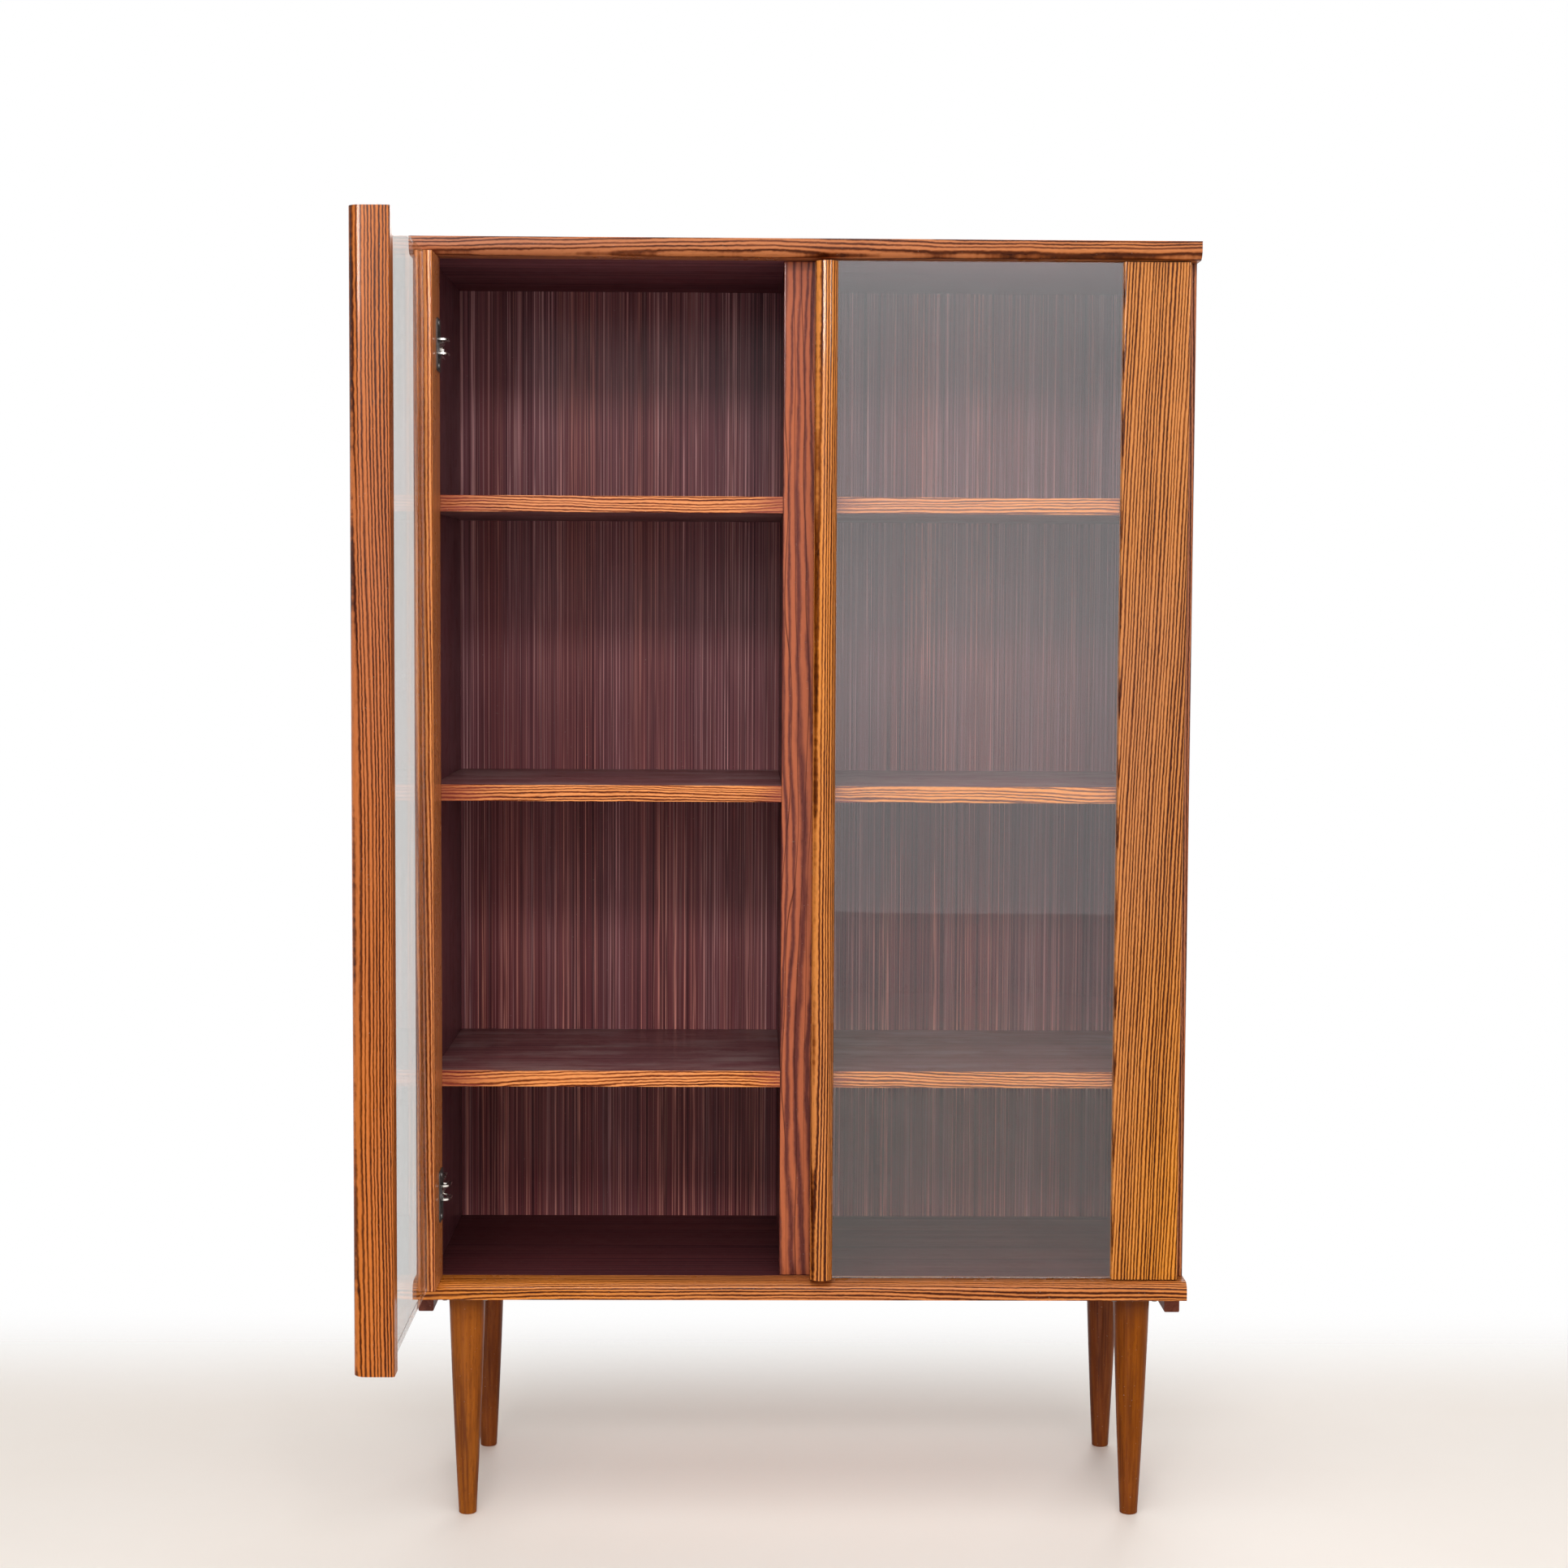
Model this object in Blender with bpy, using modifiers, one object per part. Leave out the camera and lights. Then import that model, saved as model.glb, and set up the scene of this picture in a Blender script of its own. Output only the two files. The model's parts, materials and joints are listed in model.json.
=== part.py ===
"""Bookcase with two glass doors, standing on four turned legs.

Units are metres and +Z is up. Every piece hangs from the empty "bookcase". In that empty's own frame
X is 0 at the middle of the case, Y is 0 at the front edges of the side panels (the doors lie in front
of it, towards -Y) and Z is 0 on the floor. The last step moves the empty so that the model's box is
centred on the world origin. Each door hangs from an empty on its hinge axis.
"""

import math

import bmesh
import bpy
from mathutils import Matrix, Vector

# Clearances
SEAT_GAP = 0.0003            # between two pieces that touch
RUNNING_GAP = 0.0001         # round a hinge pin

# Case
CASE_WIDTH = 0.900           # top and bottom panels, end to end
CASE_DEPTH = 0.3185          # side panel, front edge to rear edge
INNER_HEIGHT = 1.179         # between the top and bottom panels
PANEL_THICKNESS = 0.021      # top and bottom panels
SIDE_THICKNESS = 0.020
SIDE_SETBACK = 0.0005        # side panel's outer face, in from the panels' ends
LIPPING_DEPTH = 0.034        # front lippings, which stand forward over the doors
LIPPING_ROUNDING = 0.011
DIVIDER_WIDTH = 0.049
DIVIDER_STRIP_DEPTH = 0.012
DIVIDER_END_GAP = 0.001      # shadow gap at each end of the divider's front strip
STRIP_ROUNDING = 0.0015
BACK_THICKNESS = 0.005
BACK_RECESS = 0.001          # back panel's rear face, in from the rear edges
REBATE_WIDTH = 0.010         # rear rebate that the back panel is nailed in
TONGUE_THICKNESS = 0.008     # tongues on the ends of the sides and the divider
TONGUE_LENGTH = 0.007
TONGUE_STOP = 0.020          # tongues end this far short of the front and of the back panel
EDGE_BREAK = 0.0006          # sanded arris

# Shelves
SHELF_THICKNESS = 0.019
SHELF_SPACING = 0.334        # top face to top face
LOWEST_SHELF = 0.242         # bottom panel's top face to the lowest shelf's
SHELF_NAMES = ("bottom", "middle", "top")
SHELF_FRONT_SETBACK = 0.0005
SHELF_REAR_PLAY = 0.0008
SHELF_TONGUE = 0.010         # height of the tongues on the shelves' ends, under a shoulder
HOUSING_DEPTH = 0.005        # housings in the sides and the divider that the tongues sit in
HOUSING_STOP = 0.016         # from the front plane to the front end of a housing

# Doors
DOOR_WIDTH = 0.4295
DOOR_THICKNESS = 0.020       # wide hinge stile
DOOR_BACK_GAP = 0.003        # case front to the closed door's inner face
DOOR_END_GAP = 0.0015        # above and below a door
HINGE_EDGE_INSET = 0.010     # hinge edge, in from the panels' ends
HINGE_STILE_WIDTH = 0.077
STILE_ROUNDING = 0.0025
PULL_WIDTH = 0.026           # fin-shaped pull stile on the free edge
PULL_DEPTH = 0.042
PULL_TRIM = 0.003            # pull stile is this much shorter at each end
NOSE_FLAT = 0.0002           # flat left in the middle of the pull stile's nose
GLASS_THICKNESS = 0.005
GLASS_SETBACK = 0.005        # outer face of the hinge stile to the outer face of the glass
GLASS_ARRIS = 0.0004
GROOVE_DEPTH = 0.012
LEFT_DOOR_OPEN = 90.0        # degrees, as the model stands
RIGHT_DOOR_OPEN = 0.0

# Hinges
HINGE_FROM_END = 0.0995      # middle of a hinge, from the end of the hinge stile
PIVOT_FROM_EDGE = 0.0095     # hinge axis, in from the stile's hinge edge
PIVOT_FROM_FACE = 0.0075     # hinge axis, behind the stile's outer face
CUP_RADIUS = 0.0175
CUP_WALL = 0.0008
CUP_OFFSET = 0.010           # cup's middle, in from the hinge axis
CUP_SKIN = 0.0022            # wood left between the cup and the outer face
FLANGE_THICKNESS = 0.001
FLANGE_HEIGHT = 0.060
FLANGE_OUTBOARD = 0.006      # flange's reach towards the hinge edge, from the hinge axis
FLANGE_INBOARD = 0.0295      # and the other way
FLANGE_ROUNDING = 0.006
CUP_SCREW_OFFSET = 0.006     # cup screws, in from the cup's middle
CUP_SCREW_SPREAD = 0.048
EAR_THICKNESS = 0.002        # ears in the cup that hold the pin's ends
EAR_HALF_WIDTH = 0.003
HINGE_PIN_RADIUS = 0.0015
ARM_HEIGHT = 0.018
CHEEK_THICKNESS = 0.002
CHEEK_HALF_WIDTH = 0.0025
NECK_REACH = 0.020           # hinge axis to the middle of the crank's outer run
NECK_BEND = 0.006
NECK_DROP = 0.0195           # hinge axis back to where the crank turns in
FOOT_START = 0.0295          # hinge axis back to the front of the arm's foot
FOOT_LENGTH = 0.041
FOOT_HEIGHT = 0.007
WEB_THICKNESS = 0.002
WEB_STAND = 0.0034           # foot of the cheeks to the underside of the web
WEB_LEAD = 0.002             # front of the foot to the front of the web
PLATE_THICKNESS = 0.0025
PLATE_LENGTH = 0.046
PLATE_HEIGHT = 0.044
PLATE_LEAD = 0.002           # plate reaches this far in front of the arm's foot
PLATE_SCREW_SPREAD = 0.032
PLATE_ROUNDING = 0.005

# Screws
ARM_SCREW_RADIUS = 0.0025
ARM_SCREW_LENGTH = 0.020
ARM_SCREW_HEAD_RADIUS = 0.0045
ARM_SCREW_HEAD_HEIGHT = 0.003
ARM_SCREW_CROWN_RADIUS = 0.0032
ARM_SCREW_RIM = 0.0012       # height of the head's upright rim
ARM_SCREW_POINT = 0.004
SMALL_SCREW_RADIUS = 0.0017  # screws of the hinge plates, the cups and the leg plates
SMALL_HOLE_PLAY = 0.0003

# Base
CLEARANCE_HEIGHT = 0.2645    # floor to the underside of the bottom panel
BATTEN_WIDTH = 0.018
BATTEN_HEIGHT = 0.026
BATTEN_FRONT_SETBACK = 0.016
BATTEN_REAR_SETBACK = 0.012
BATTEN_ROUNDING = 0.0015
LEG_FROM_END = 0.059         # leg's axis, in from the panels' ends
LEG_FROM_FRONT = 0.041       # leg's axis, back from the front of the lipping
LEG_FROM_REAR = 0.055
LEG_TOP_RADIUS = 0.0212
LEG_FOOT_RADIUS = 0.0104
LEG_SWELL = 0.0008           # how far the taper bellies out
LEG_EDGE_BREAK = 0.001
LEG_PLATE_SIZE = 0.060
LEG_PLATE_THICKNESS = 0.0025
LEG_PLATE_ROUNDING = 0.006
LEG_PLATE_SCREW_SPREAD = 0.047
BOLT_RADIUS = 0.004
BOLT_IN_LEG = 0.032
BOLT_IN_PANEL = 0.008

# Facets and cutters
FINE = 32
COARSE = 12
LEG_RINGS = 9
CHAMFER_STEPS = 1
BREAK_STEPS = 2
ROUND_STEPS = 3
BROAD_STEPS = 8
BEND_STEPS = 6
SHARP_ANGLE = 35.0           # degrees; arrises above it stay sharp
SAME_PLACE = 0.000001        # points nearer than this are one point
LATHE_WELD = 0.00001
OVERRUN = 0.006              # how far a cutter runs past a face

# Places worked out from the sizes above
HALF_WIDTH = CASE_WIDTH / 2
FLOOR_BOARD = CLEARANCE_HEIGHT + PANEL_THICKNESS
CEILING = FLOOR_BOARD + INNER_HEIGHT
CASE_TOP = CEILING + PANEL_THICKNESS
SIDE_OUTER = HALF_WIDTH - SIDE_SETBACK
SIDE_INNER = SIDE_OUTER - SIDE_THICKNESS
DIVIDER_HALF = DIVIDER_WIDTH / 2
BACK_FACE = CASE_DEPTH - BACK_RECESS - BACK_THICKNESS
DOOR_BOTTOM = FLOOR_BOARD + DOOR_END_GAP
DOOR_TOP = CEILING - DOOR_END_GAP
DOOR_FACE = DOOR_BACK_GAP + DOOR_THICKNESS
PIVOT_X = HALF_WIDTH - HINGE_EDGE_INSET - PIVOT_FROM_EDGE
PIVOT_FORWARD = DOOR_FACE - PIVOT_FROM_FACE
HINGE_HEIGHTS = (DOOR_BOTTOM + HINGE_FROM_END, DOOR_TOP - HINGE_FROM_END)
LEG_X = HALF_WIDTH - LEG_FROM_END
LEG_YS = (LEG_FROM_FRONT - LIPPING_DEPTH, CASE_DEPTH - LEG_FROM_REAR)

SIDES = (("left", -1), ("right", 1))
HINGE_NAMES = ("lower", "upper")
ALL_CORNERS = ((-1, -1), (-1, 1), (1, -1), (1, 1))


def clear_scene():
    """Empties the file of objects."""
    for obj in list(bpy.data.objects):
        bpy.data.objects.remove(obj, do_unlink=True)


def new_collection(name):
    """A collection under the scene."""
    made = bpy.data.collections.new(name)
    bpy.context.scene.collection.children.link(made)
    return made


clear_scene()
PARTS = new_collection("bookcase_with_glass_doors")
CUTTERS = new_collection("cutters")


def finish(name, colour, roughness, metallic=0.0, alpha=1.0):
    """A plain finish for one kind of surface."""
    made = bpy.data.materials.new(name)
    made.use_nodes = True
    shader = made.node_tree.nodes["Principled BSDF"]
    shader.inputs["Base Color"].default_value = (*colour, 1.0)
    shader.inputs["Roughness"].default_value = roughness
    shader.inputs["Metallic"].default_value = metallic
    shader.inputs["Alpha"].default_value = alpha
    made.diffuse_color = (*colour, alpha)
    return made


STRIPED = finish("striped_veneer", (0.56, 0.27, 0.09), 0.30)
RED_STRIPED = finish("red_striped_veneer", (0.42, 0.19, 0.09), 0.32)
INSIDE = finish("dark_inner_veneer", (0.10, 0.045, 0.045), 0.45)
STAINED = finish("stained_beech", (0.40, 0.19, 0.07), 0.35)
CLEAR_GLASS = finish("clear_glass", (0.85, 0.92, 0.90), 0.05, alpha=0.35)
BRIGHT_STEEL = finish("bright_steel", (0.72, 0.72, 0.72), 0.25, 1.0)
DARK_STEEL = finish("dark_steel", (0.20, 0.19, 0.18), 0.45, 1.0)


def add_empty(name, parent=None, location=(0.0, 0.0, 0.0)):
    """An empty that pieces hang from."""
    made = bpy.data.objects.new(name, None)
    made.empty_display_size = 0.05
    PARTS.objects.link(made)
    made.parent = parent
    made.location = location
    return made


def add_piece(name, mesh, colouring, parent, location=(0.0, 0.0, 0.0)):
    """One named piece of the bookcase."""
    made = bpy.data.objects.new(name, mesh)
    PARTS.objects.link(made)
    made.data.materials.append(colouring)
    made.parent = parent
    made.location = location
    return made


def mesh_from(name, shape):
    """Turns a bmesh into a mesh and frees it."""
    mesh = bpy.data.meshes.new(name)
    shape.to_mesh(mesh)
    shape.free()
    return mesh


def shade_round(mesh):
    """Smooth shading that keeps the sharp arrises."""
    mesh.shade_smooth()
    mesh.set_sharp_from_angle(angle=math.radians(SHARP_ANGLE))


def lies_on(edge, axis, corner, size):
    """Whether a box's edge runs along an axis at the corner given by the signs of the other two."""
    others = [index for index in range(3) if index != axis]
    for vertex in edge.verts:
        for index, sign in zip(others, corner):
            if abs(vertex.co[index] - sign * size[index] / 2) > SAME_PLACE:
                return False
    return True


def box_shape(one, other):
    """A box between two corners, made round the origin, with its size and where its middle belongs."""
    low = Vector([min(pair) for pair in zip(one, other)])
    high = Vector([max(pair) for pair in zip(one, other)])
    shape = bmesh.new()
    bmesh.ops.create_cube(shape, size=1.0)
    bmesh.ops.scale(shape, vec=high - low, verts=shape.verts)
    return shape, high - low, (low + high) / 2


def box(name, one, other, colouring, parent, roundings=()):
    """A box between two corners. A rounding is an edge axis, its corners' signs, a radius and steps."""
    shape, size, middle = box_shape(one, other)
    for axis, corners, radius, steps in roundings:
        edges = []
        for corner in corners:
            edges += [edge for edge in shape.edges if lies_on(edge, axis, corner, size)]
        bmesh.ops.bevel(
            shape, geom=edges, offset=radius, offset_type="OFFSET", segments=steps, profile=0.5,
            affect="EDGES", material=-1, clamp_overlap=True,
        )
    mesh = mesh_from(name, shape)
    if roundings:
        shade_round(mesh)
    return add_piece(name, mesh, colouring, parent, middle)


def board(name, one, other, colouring, parent, grain):
    """A board whose long arrises, along the grain's axis, are broken with sandpaper."""
    return box(name, one, other, colouring, parent, ((grain, ALL_CORNERS, EDGE_BREAK, CHAMFER_STEPS),))


def rod(shape, start, end, radius, facets=COARSE):
    """Adds a closed cylinder between two points."""
    run = Vector(end) - Vector(start)
    turn = run.to_track_quat("Z", "Y").to_matrix().to_4x4()
    place = Matrix.Translation((Vector(start) + Vector(end)) / 2) @ turn
    bmesh.ops.create_cone(
        shape, cap_ends=True, segments=facets, radius1=radius, radius2=radius, depth=run.length, matrix=place,
    )


def combine(piece, label, shape, parent, operation="DIFFERENCE", location=(0.0, 0.0, 0.0)):
    """Cuts a shape out of a piece, or joins it to the piece with UNION."""
    name = piece.name + "_" + label
    helper = bpy.data.objects.new(name, mesh_from(name, shape))
    CUTTERS.objects.link(helper)
    helper.parent = parent
    helper.location = location
    helper.hide_render = True
    helper.display_type = "WIRE"
    change = piece.modifiers.new(label, "BOOLEAN")
    change.operation = operation
    change.solver = "EXACT"
    change.object = helper


def drill(piece, label, holes, parent, facets=COARSE):
    """Bores holes, each a start, an end and a radius, in one cut."""
    shape = bmesh.new()
    for start, end, radius in holes:
        rod(shape, start, end, radius, facets)
    combine(piece, label, shape, parent)


def notch(piece, label, one, other, parent):
    """Cuts a box-shaped notch or groove."""
    shape, _, middle = box_shape(one, other)
    combine(piece, label, shape, parent, location=middle)


def add_block(piece, label, one, other, parent):
    """Joins a box to a piece."""
    shape, _, middle = box_shape(one, other)
    combine(piece, label, shape, parent, "UNION", middle)


def evaluated_mesh(source, name):
    """The welded mesh of an object with its modifiers applied; the object itself is removed."""
    bpy.context.view_layer.update()
    graph = bpy.context.evaluated_depsgraph_get()
    mesh = bpy.data.meshes.new_from_object(source.evaluated_get(graph))
    mesh.name = name
    bpy.data.objects.remove(source, do_unlink=True)
    shape = bmesh.new()
    shape.from_mesh(mesh)
    bmesh.ops.remove_doubles(shape, verts=shape.verts, dist=SAME_PLACE)
    bmesh.ops.recalc_face_normals(shape, faces=shape.faces)
    shape.to_mesh(mesh)
    shape.free()
    return mesh


def turned(name, profile, facets):
    """A solid of revolution about Z; the profile's (radius, height) points run down its outer side."""
    outline = bpy.data.meshes.new(name + "_profile")
    points = [(radius, 0.0, height) for radius, height in profile]
    edges = [(index, index + 1) for index in range(len(points) - 1)]
    outline.from_pydata(points, edges, [])
    lathe = bpy.data.objects.new(name + "_lathe", outline)
    CUTTERS.objects.link(lathe)
    screw = lathe.modifiers.new("turning", "SCREW")
    screw.steps = facets
    screw.render_steps = facets
    screw.use_merge_vertices = True
    screw.merge_threshold = LATHE_WELD
    mesh = evaluated_mesh(lathe, name)
    shade_round(mesh)
    return mesh


def spread(low, high, count):
    """Evenly spaced values, ends included."""
    return [low + (high - low) * index / (count - 1) for index in range(count)]


def shelf_tops():
    """Heights of the shelves' top faces, lowest first."""
    return [FLOOR_BOARD + LOWEST_SHELF + SHELF_SPACING * index for index in range(len(SHELF_NAMES))]


def arm_screw_face():
    """How far out from the case's middle an arm screw's head is seated, on the arm's web."""
    foot_face = SIDE_INNER - 2 * SEAT_GAP - PLATE_THICKNESS
    return foot_face - WEB_STAND - WEB_THICKNESS


def foot_middle():
    """How far back the middle of a hinge arm's foot lies."""
    return FOOT_START + FOOT_LENGTH / 2 - PIVOT_FORWARD


def leg_places():
    """Each leg's name and the x and y of its axis."""
    places = []
    for side, hand in SIDES:
        for end, y in zip(("front", "rear"), LEG_YS):
            places.append((end + "_" + side, hand * LEG_X, y))
    return places


def build_panels(case):
    """Top and bottom panels, grooved for the uprights' tongues, with their front lippings."""
    groove = TONGUE_THICKNESS / 2 + SEAT_GAP
    sides_middle = (SIDE_OUTER + SIDE_INNER) / 2
    panels = (("bottom", CLEARANCE_HEIGHT, FLOOR_BOARD, 1), ("top", CEILING, CASE_TOP, -1))
    for label, low, high, inner in panels:
        panel = board(
            label + "_panel", (-HALF_WIDTH, 0.0, low), (HALF_WIDTH, CASE_DEPTH, high), INSIDE, case, 0,
        )
        inner_face = high if inner > 0 else low
        notch(
            panel, "rebate",
            (-SIDE_INNER - REBATE_WIDTH, BACK_FACE - SEAT_GAP, inner_face - inner * REBATE_WIDTH),
            (SIDE_INNER + REBATE_WIDTH, CASE_DEPTH + OVERRUN, inner_face + inner * OVERRUN), case,
        )
        for where, x in (("left", -sides_middle), ("middle", 0.0), ("right", sides_middle)):
            notch(
                panel, where + "_groove",
                (x - groove, TONGUE_STOP - SEAT_GAP, inner_face - inner * (TONGUE_LENGTH + SEAT_GAP)),
                (x + groove, BACK_FACE - TONGUE_STOP + SEAT_GAP, inner_face + inner * OVERRUN), case,
            )
        if inner > 0:
            bores = []
            for _, x, y in leg_places():
                bolt_top = (x, y, CLEARANCE_HEIGHT + BOLT_IN_PANEL + SEAT_GAP)
                bores.append(((x, y, CLEARANCE_HEIGHT - OVERRUN), bolt_top, BOLT_RADIUS + SEAT_GAP))
            drill(panel, "bolt_bores", bores, case)
        box(
            label + "_front_lipping",
            (-HALF_WIDTH, -LIPPING_DEPTH, low), (HALF_WIDTH, -SEAT_GAP, high), STRIPED, case,
            (
                (0, ((-1, inner),), LIPPING_ROUNDING, BROAD_STEPS),
                (0, ((-1, -inner),), EDGE_BREAK, BREAK_STEPS),
            ),
        )


def add_tongues(upright, x, case):
    """Joins the tongues to both ends of a side or of the divider."""
    half = TONGUE_THICKNESS / 2
    for label, end, way in (("bottom_tongue", FLOOR_BOARD, -1), ("top_tongue", CEILING, 1)):
        add_block(
            upright, label,
            (x - half, TONGUE_STOP, end - way * OVERRUN),
            (x + half, BACK_FACE - TONGUE_STOP, end + way * TONGUE_LENGTH), case,
        )


def cut_housings(upright, face, way, case):
    """Cuts the stopped housings for the shelves' tongues in an upright's face; way points into its wood."""
    for name, top in zip(SHELF_NAMES, shelf_tops()):
        low = top - SHELF_THICKNESS
        notch(
            upright, name + "_housing_" + ("right" if way > 0 else "left"),
            (face - way * OVERRUN, HOUSING_STOP - SEAT_GAP, low - SEAT_GAP),
            (face + way * HOUSING_DEPTH, BACK_FACE + SEAT_GAP, low + SHELF_TONGUE + SEAT_GAP), case,
        )


def build_sides(case):
    """Side panels with their tongues, rebates, shelf housings and hinge screw holes."""
    for side, hand in SIDES:
        panel = board(
            side + "_side_panel",
            (hand * SIDE_OUTER, 0.0, FLOOR_BOARD + SEAT_GAP),
            (hand * SIDE_INNER, CASE_DEPTH, CEILING - SEAT_GAP), STRIPED, case, 2,
        )
        add_tongues(panel, hand * (SIDE_OUTER + SIDE_INNER) / 2, case)
        notch(
            panel, "rebate",
            (hand * (SIDE_INNER - OVERRUN), BACK_FACE - SEAT_GAP, FLOOR_BOARD - OVERRUN),
            (hand * (SIDE_INNER + REBATE_WIDTH), CASE_DEPTH + OVERRUN, CEILING + OVERRUN), case,
        )
        cut_housings(panel, hand * SIDE_INNER, hand, case)
        deep = arm_screw_face() + ARM_SCREW_LENGTH + SEAT_GAP
        bores = []
        for height in HINGE_HEIGHTS:
            near = (hand * (SIDE_INNER - OVERRUN), foot_middle(), height)
            bores.append((near, (hand * deep, foot_middle(), height), ARM_SCREW_RADIUS + SEAT_GAP))
        drill(panel, "arm_screw_bores", bores, case)


def build_divider(case):
    """Middle divider and the strip on its front edge."""
    divider = board(
        "center_divider",
        (-DIVIDER_HALF, DIVIDER_STRIP_DEPTH + SEAT_GAP, FLOOR_BOARD + SEAT_GAP),
        (DIVIDER_HALF, BACK_FACE - SEAT_GAP, CEILING - SEAT_GAP), INSIDE, case, 2,
    )
    add_tongues(divider, 0.0, case)
    for _, hand in SIDES:
        cut_housings(divider, hand * DIVIDER_HALF, -hand, case)
    box(
        "divider_front_strip",
        (-DIVIDER_HALF, 0.0, FLOOR_BOARD + DIVIDER_END_GAP),
        (DIVIDER_HALF, DIVIDER_STRIP_DEPTH, CEILING - DIVIDER_END_GAP), RED_STRIPED, case,
        ((2, ((-1, -1), (1, -1)), STRIP_ROUNDING, ROUND_STEPS),),
    )


def build_back(case):
    """Back panel, set in the rebates."""
    reach = SIDE_INNER + REBATE_WIDTH - SEAT_GAP
    board(
        "back_panel",
        (-reach, BACK_FACE, FLOOR_BOARD - REBATE_WIDTH + SEAT_GAP),
        (reach, BACK_FACE + BACK_THICKNESS, CEILING + REBATE_WIDTH - SEAT_GAP), INSIDE, case, 2,
    )


def build_shelves(case):
    """Fixed shelves, lowest first on each side, with tongues on their ends that sit in the uprights."""
    low_x = DIVIDER_HALF - HOUSING_DEPTH + SEAT_GAP
    high_x = SIDE_INNER + HOUSING_DEPTH - SEAT_GAP
    for side, hand in SIDES:
        for name, top in zip(SHELF_NAMES, shelf_tops()):
            low = top - SHELF_THICKNESS
            shelf = box(
                side + "_" + name + "_shelf",
                (hand * low_x, SHELF_FRONT_SETBACK, low),
                (hand * high_x, BACK_FACE - SHELF_REAR_PLAY, top), STRIPED, case,
                ((0, ((-1, -1), (-1, 1)), EDGE_BREAK, BREAK_STEPS),),
            )
            for end, outside, inside in (
                ("inner", low_x - OVERRUN, DIVIDER_HALF + SEAT_GAP),
                ("outer", high_x + OVERRUN, SIDE_INNER - SEAT_GAP),
            ):
                notch(
                    shelf, end + "_corner",
                    (hand * outside, -OVERRUN, low - OVERRUN),
                    (hand * inside, HOUSING_STOP, top + OVERRUN), case,
                )
                notch(
                    shelf, end + "_shoulder",
                    (hand * outside, -OVERRUN, low + SHELF_TONGUE),
                    (hand * inside, BACK_FACE + OVERRUN, top + OVERRUN), case,
                )


def build_battens(case):
    """Battens under the ends of the bottom panel."""
    top = CLEARANCE_HEIGHT - SEAT_GAP
    for side, hand in SIDES:
        box(
            side + "_base_batten",
            (hand * SIDE_OUTER, BATTEN_FRONT_SETBACK, top - BATTEN_HEIGHT),
            (hand * (SIDE_OUTER - BATTEN_WIDTH), CASE_DEPTH - BATTEN_REAR_SETBACK, top), STAINED, case,
            ((1, ALL_CORNERS, BATTEN_ROUNDING, BREAK_STEPS),),
        )


def leg_profile(length):
    """A tapered leg with a bolt bore in its top, foot at height 0."""
    bore = BOLT_RADIUS + SEAT_GAP
    bore_floor = length - BOLT_IN_LEG - SEAT_GAP
    points = [(0.0, bore_floor), (bore, bore_floor), (bore, length)]
    points.append((LEG_TOP_RADIUS - LEG_EDGE_BREAK, length))
    for down in spread(0.0, 1.0, LEG_RINGS):
        height = (length - LEG_EDGE_BREAK) * (1 - down) + LEG_EDGE_BREAK * down
        taper = LEG_TOP_RADIUS + (LEG_FOOT_RADIUS - LEG_TOP_RADIUS) * down
        points.append((taper + LEG_SWELL * 4 * down * (1 - down), height))
    return points + [(LEG_FOOT_RADIUS - LEG_EDGE_BREAK, 0.0), (0.0, 0.0)]


def build_legs(case):
    """Turned legs with their plates and bolts."""
    plate_low = CLEARANCE_HEIGHT - SEAT_GAP - LEG_PLATE_THICKNESS
    leg_top = plate_low - SEAT_GAP
    leg_mesh = turned("leg", leg_profile(leg_top), FINE)
    half = LEG_PLATE_SIZE / 2
    spread_half = LEG_PLATE_SCREW_SPREAD / 2
    for name, x, y in leg_places():
        add_piece(name + "_leg", leg_mesh, STAINED, case, (x, y, 0.0))
        plate = box(
            name + "_leg_plate",
            (x - half, y - half, plate_low), (x + half, y + half, plate_low + LEG_PLATE_THICKNESS),
            DARK_STEEL, case, ((2, ALL_CORNERS, LEG_PLATE_ROUNDING, ROUND_STEPS),),
        )
        below = plate_low - OVERRUN
        above = CLEARANCE_HEIGHT + OVERRUN
        holes = [((x, y, below), (x, y, above), BOLT_RADIUS + SEAT_GAP)]
        for across, along in ALL_CORNERS:
            place = (x + across * spread_half, y + along * spread_half)
            holes.append(((*place, below), (*place, above), SMALL_SCREW_RADIUS + SMALL_HOLE_PLAY))
        drill(plate, "holes", holes, case)
        bolt = bmesh.new()
        rod(bolt, (x, y, leg_top - BOLT_IN_LEG), (x, y, CLEARANCE_HEIGHT + BOLT_IN_PANEL), BOLT_RADIUS)
        mesh = mesh_from(name + "_leg_bolt", bolt)
        shade_round(mesh)
        add_piece(name + "_leg_bolt", mesh, DARK_STEEL, case)


def door_point(hand, inset, forward, height):
    """A point of a closed door, from its inset and forward reach, in its pivot empty's frame."""
    return (hand * (HALF_WIDTH - inset - PIVOT_X), PIVOT_FORWARD - forward, height)


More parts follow.
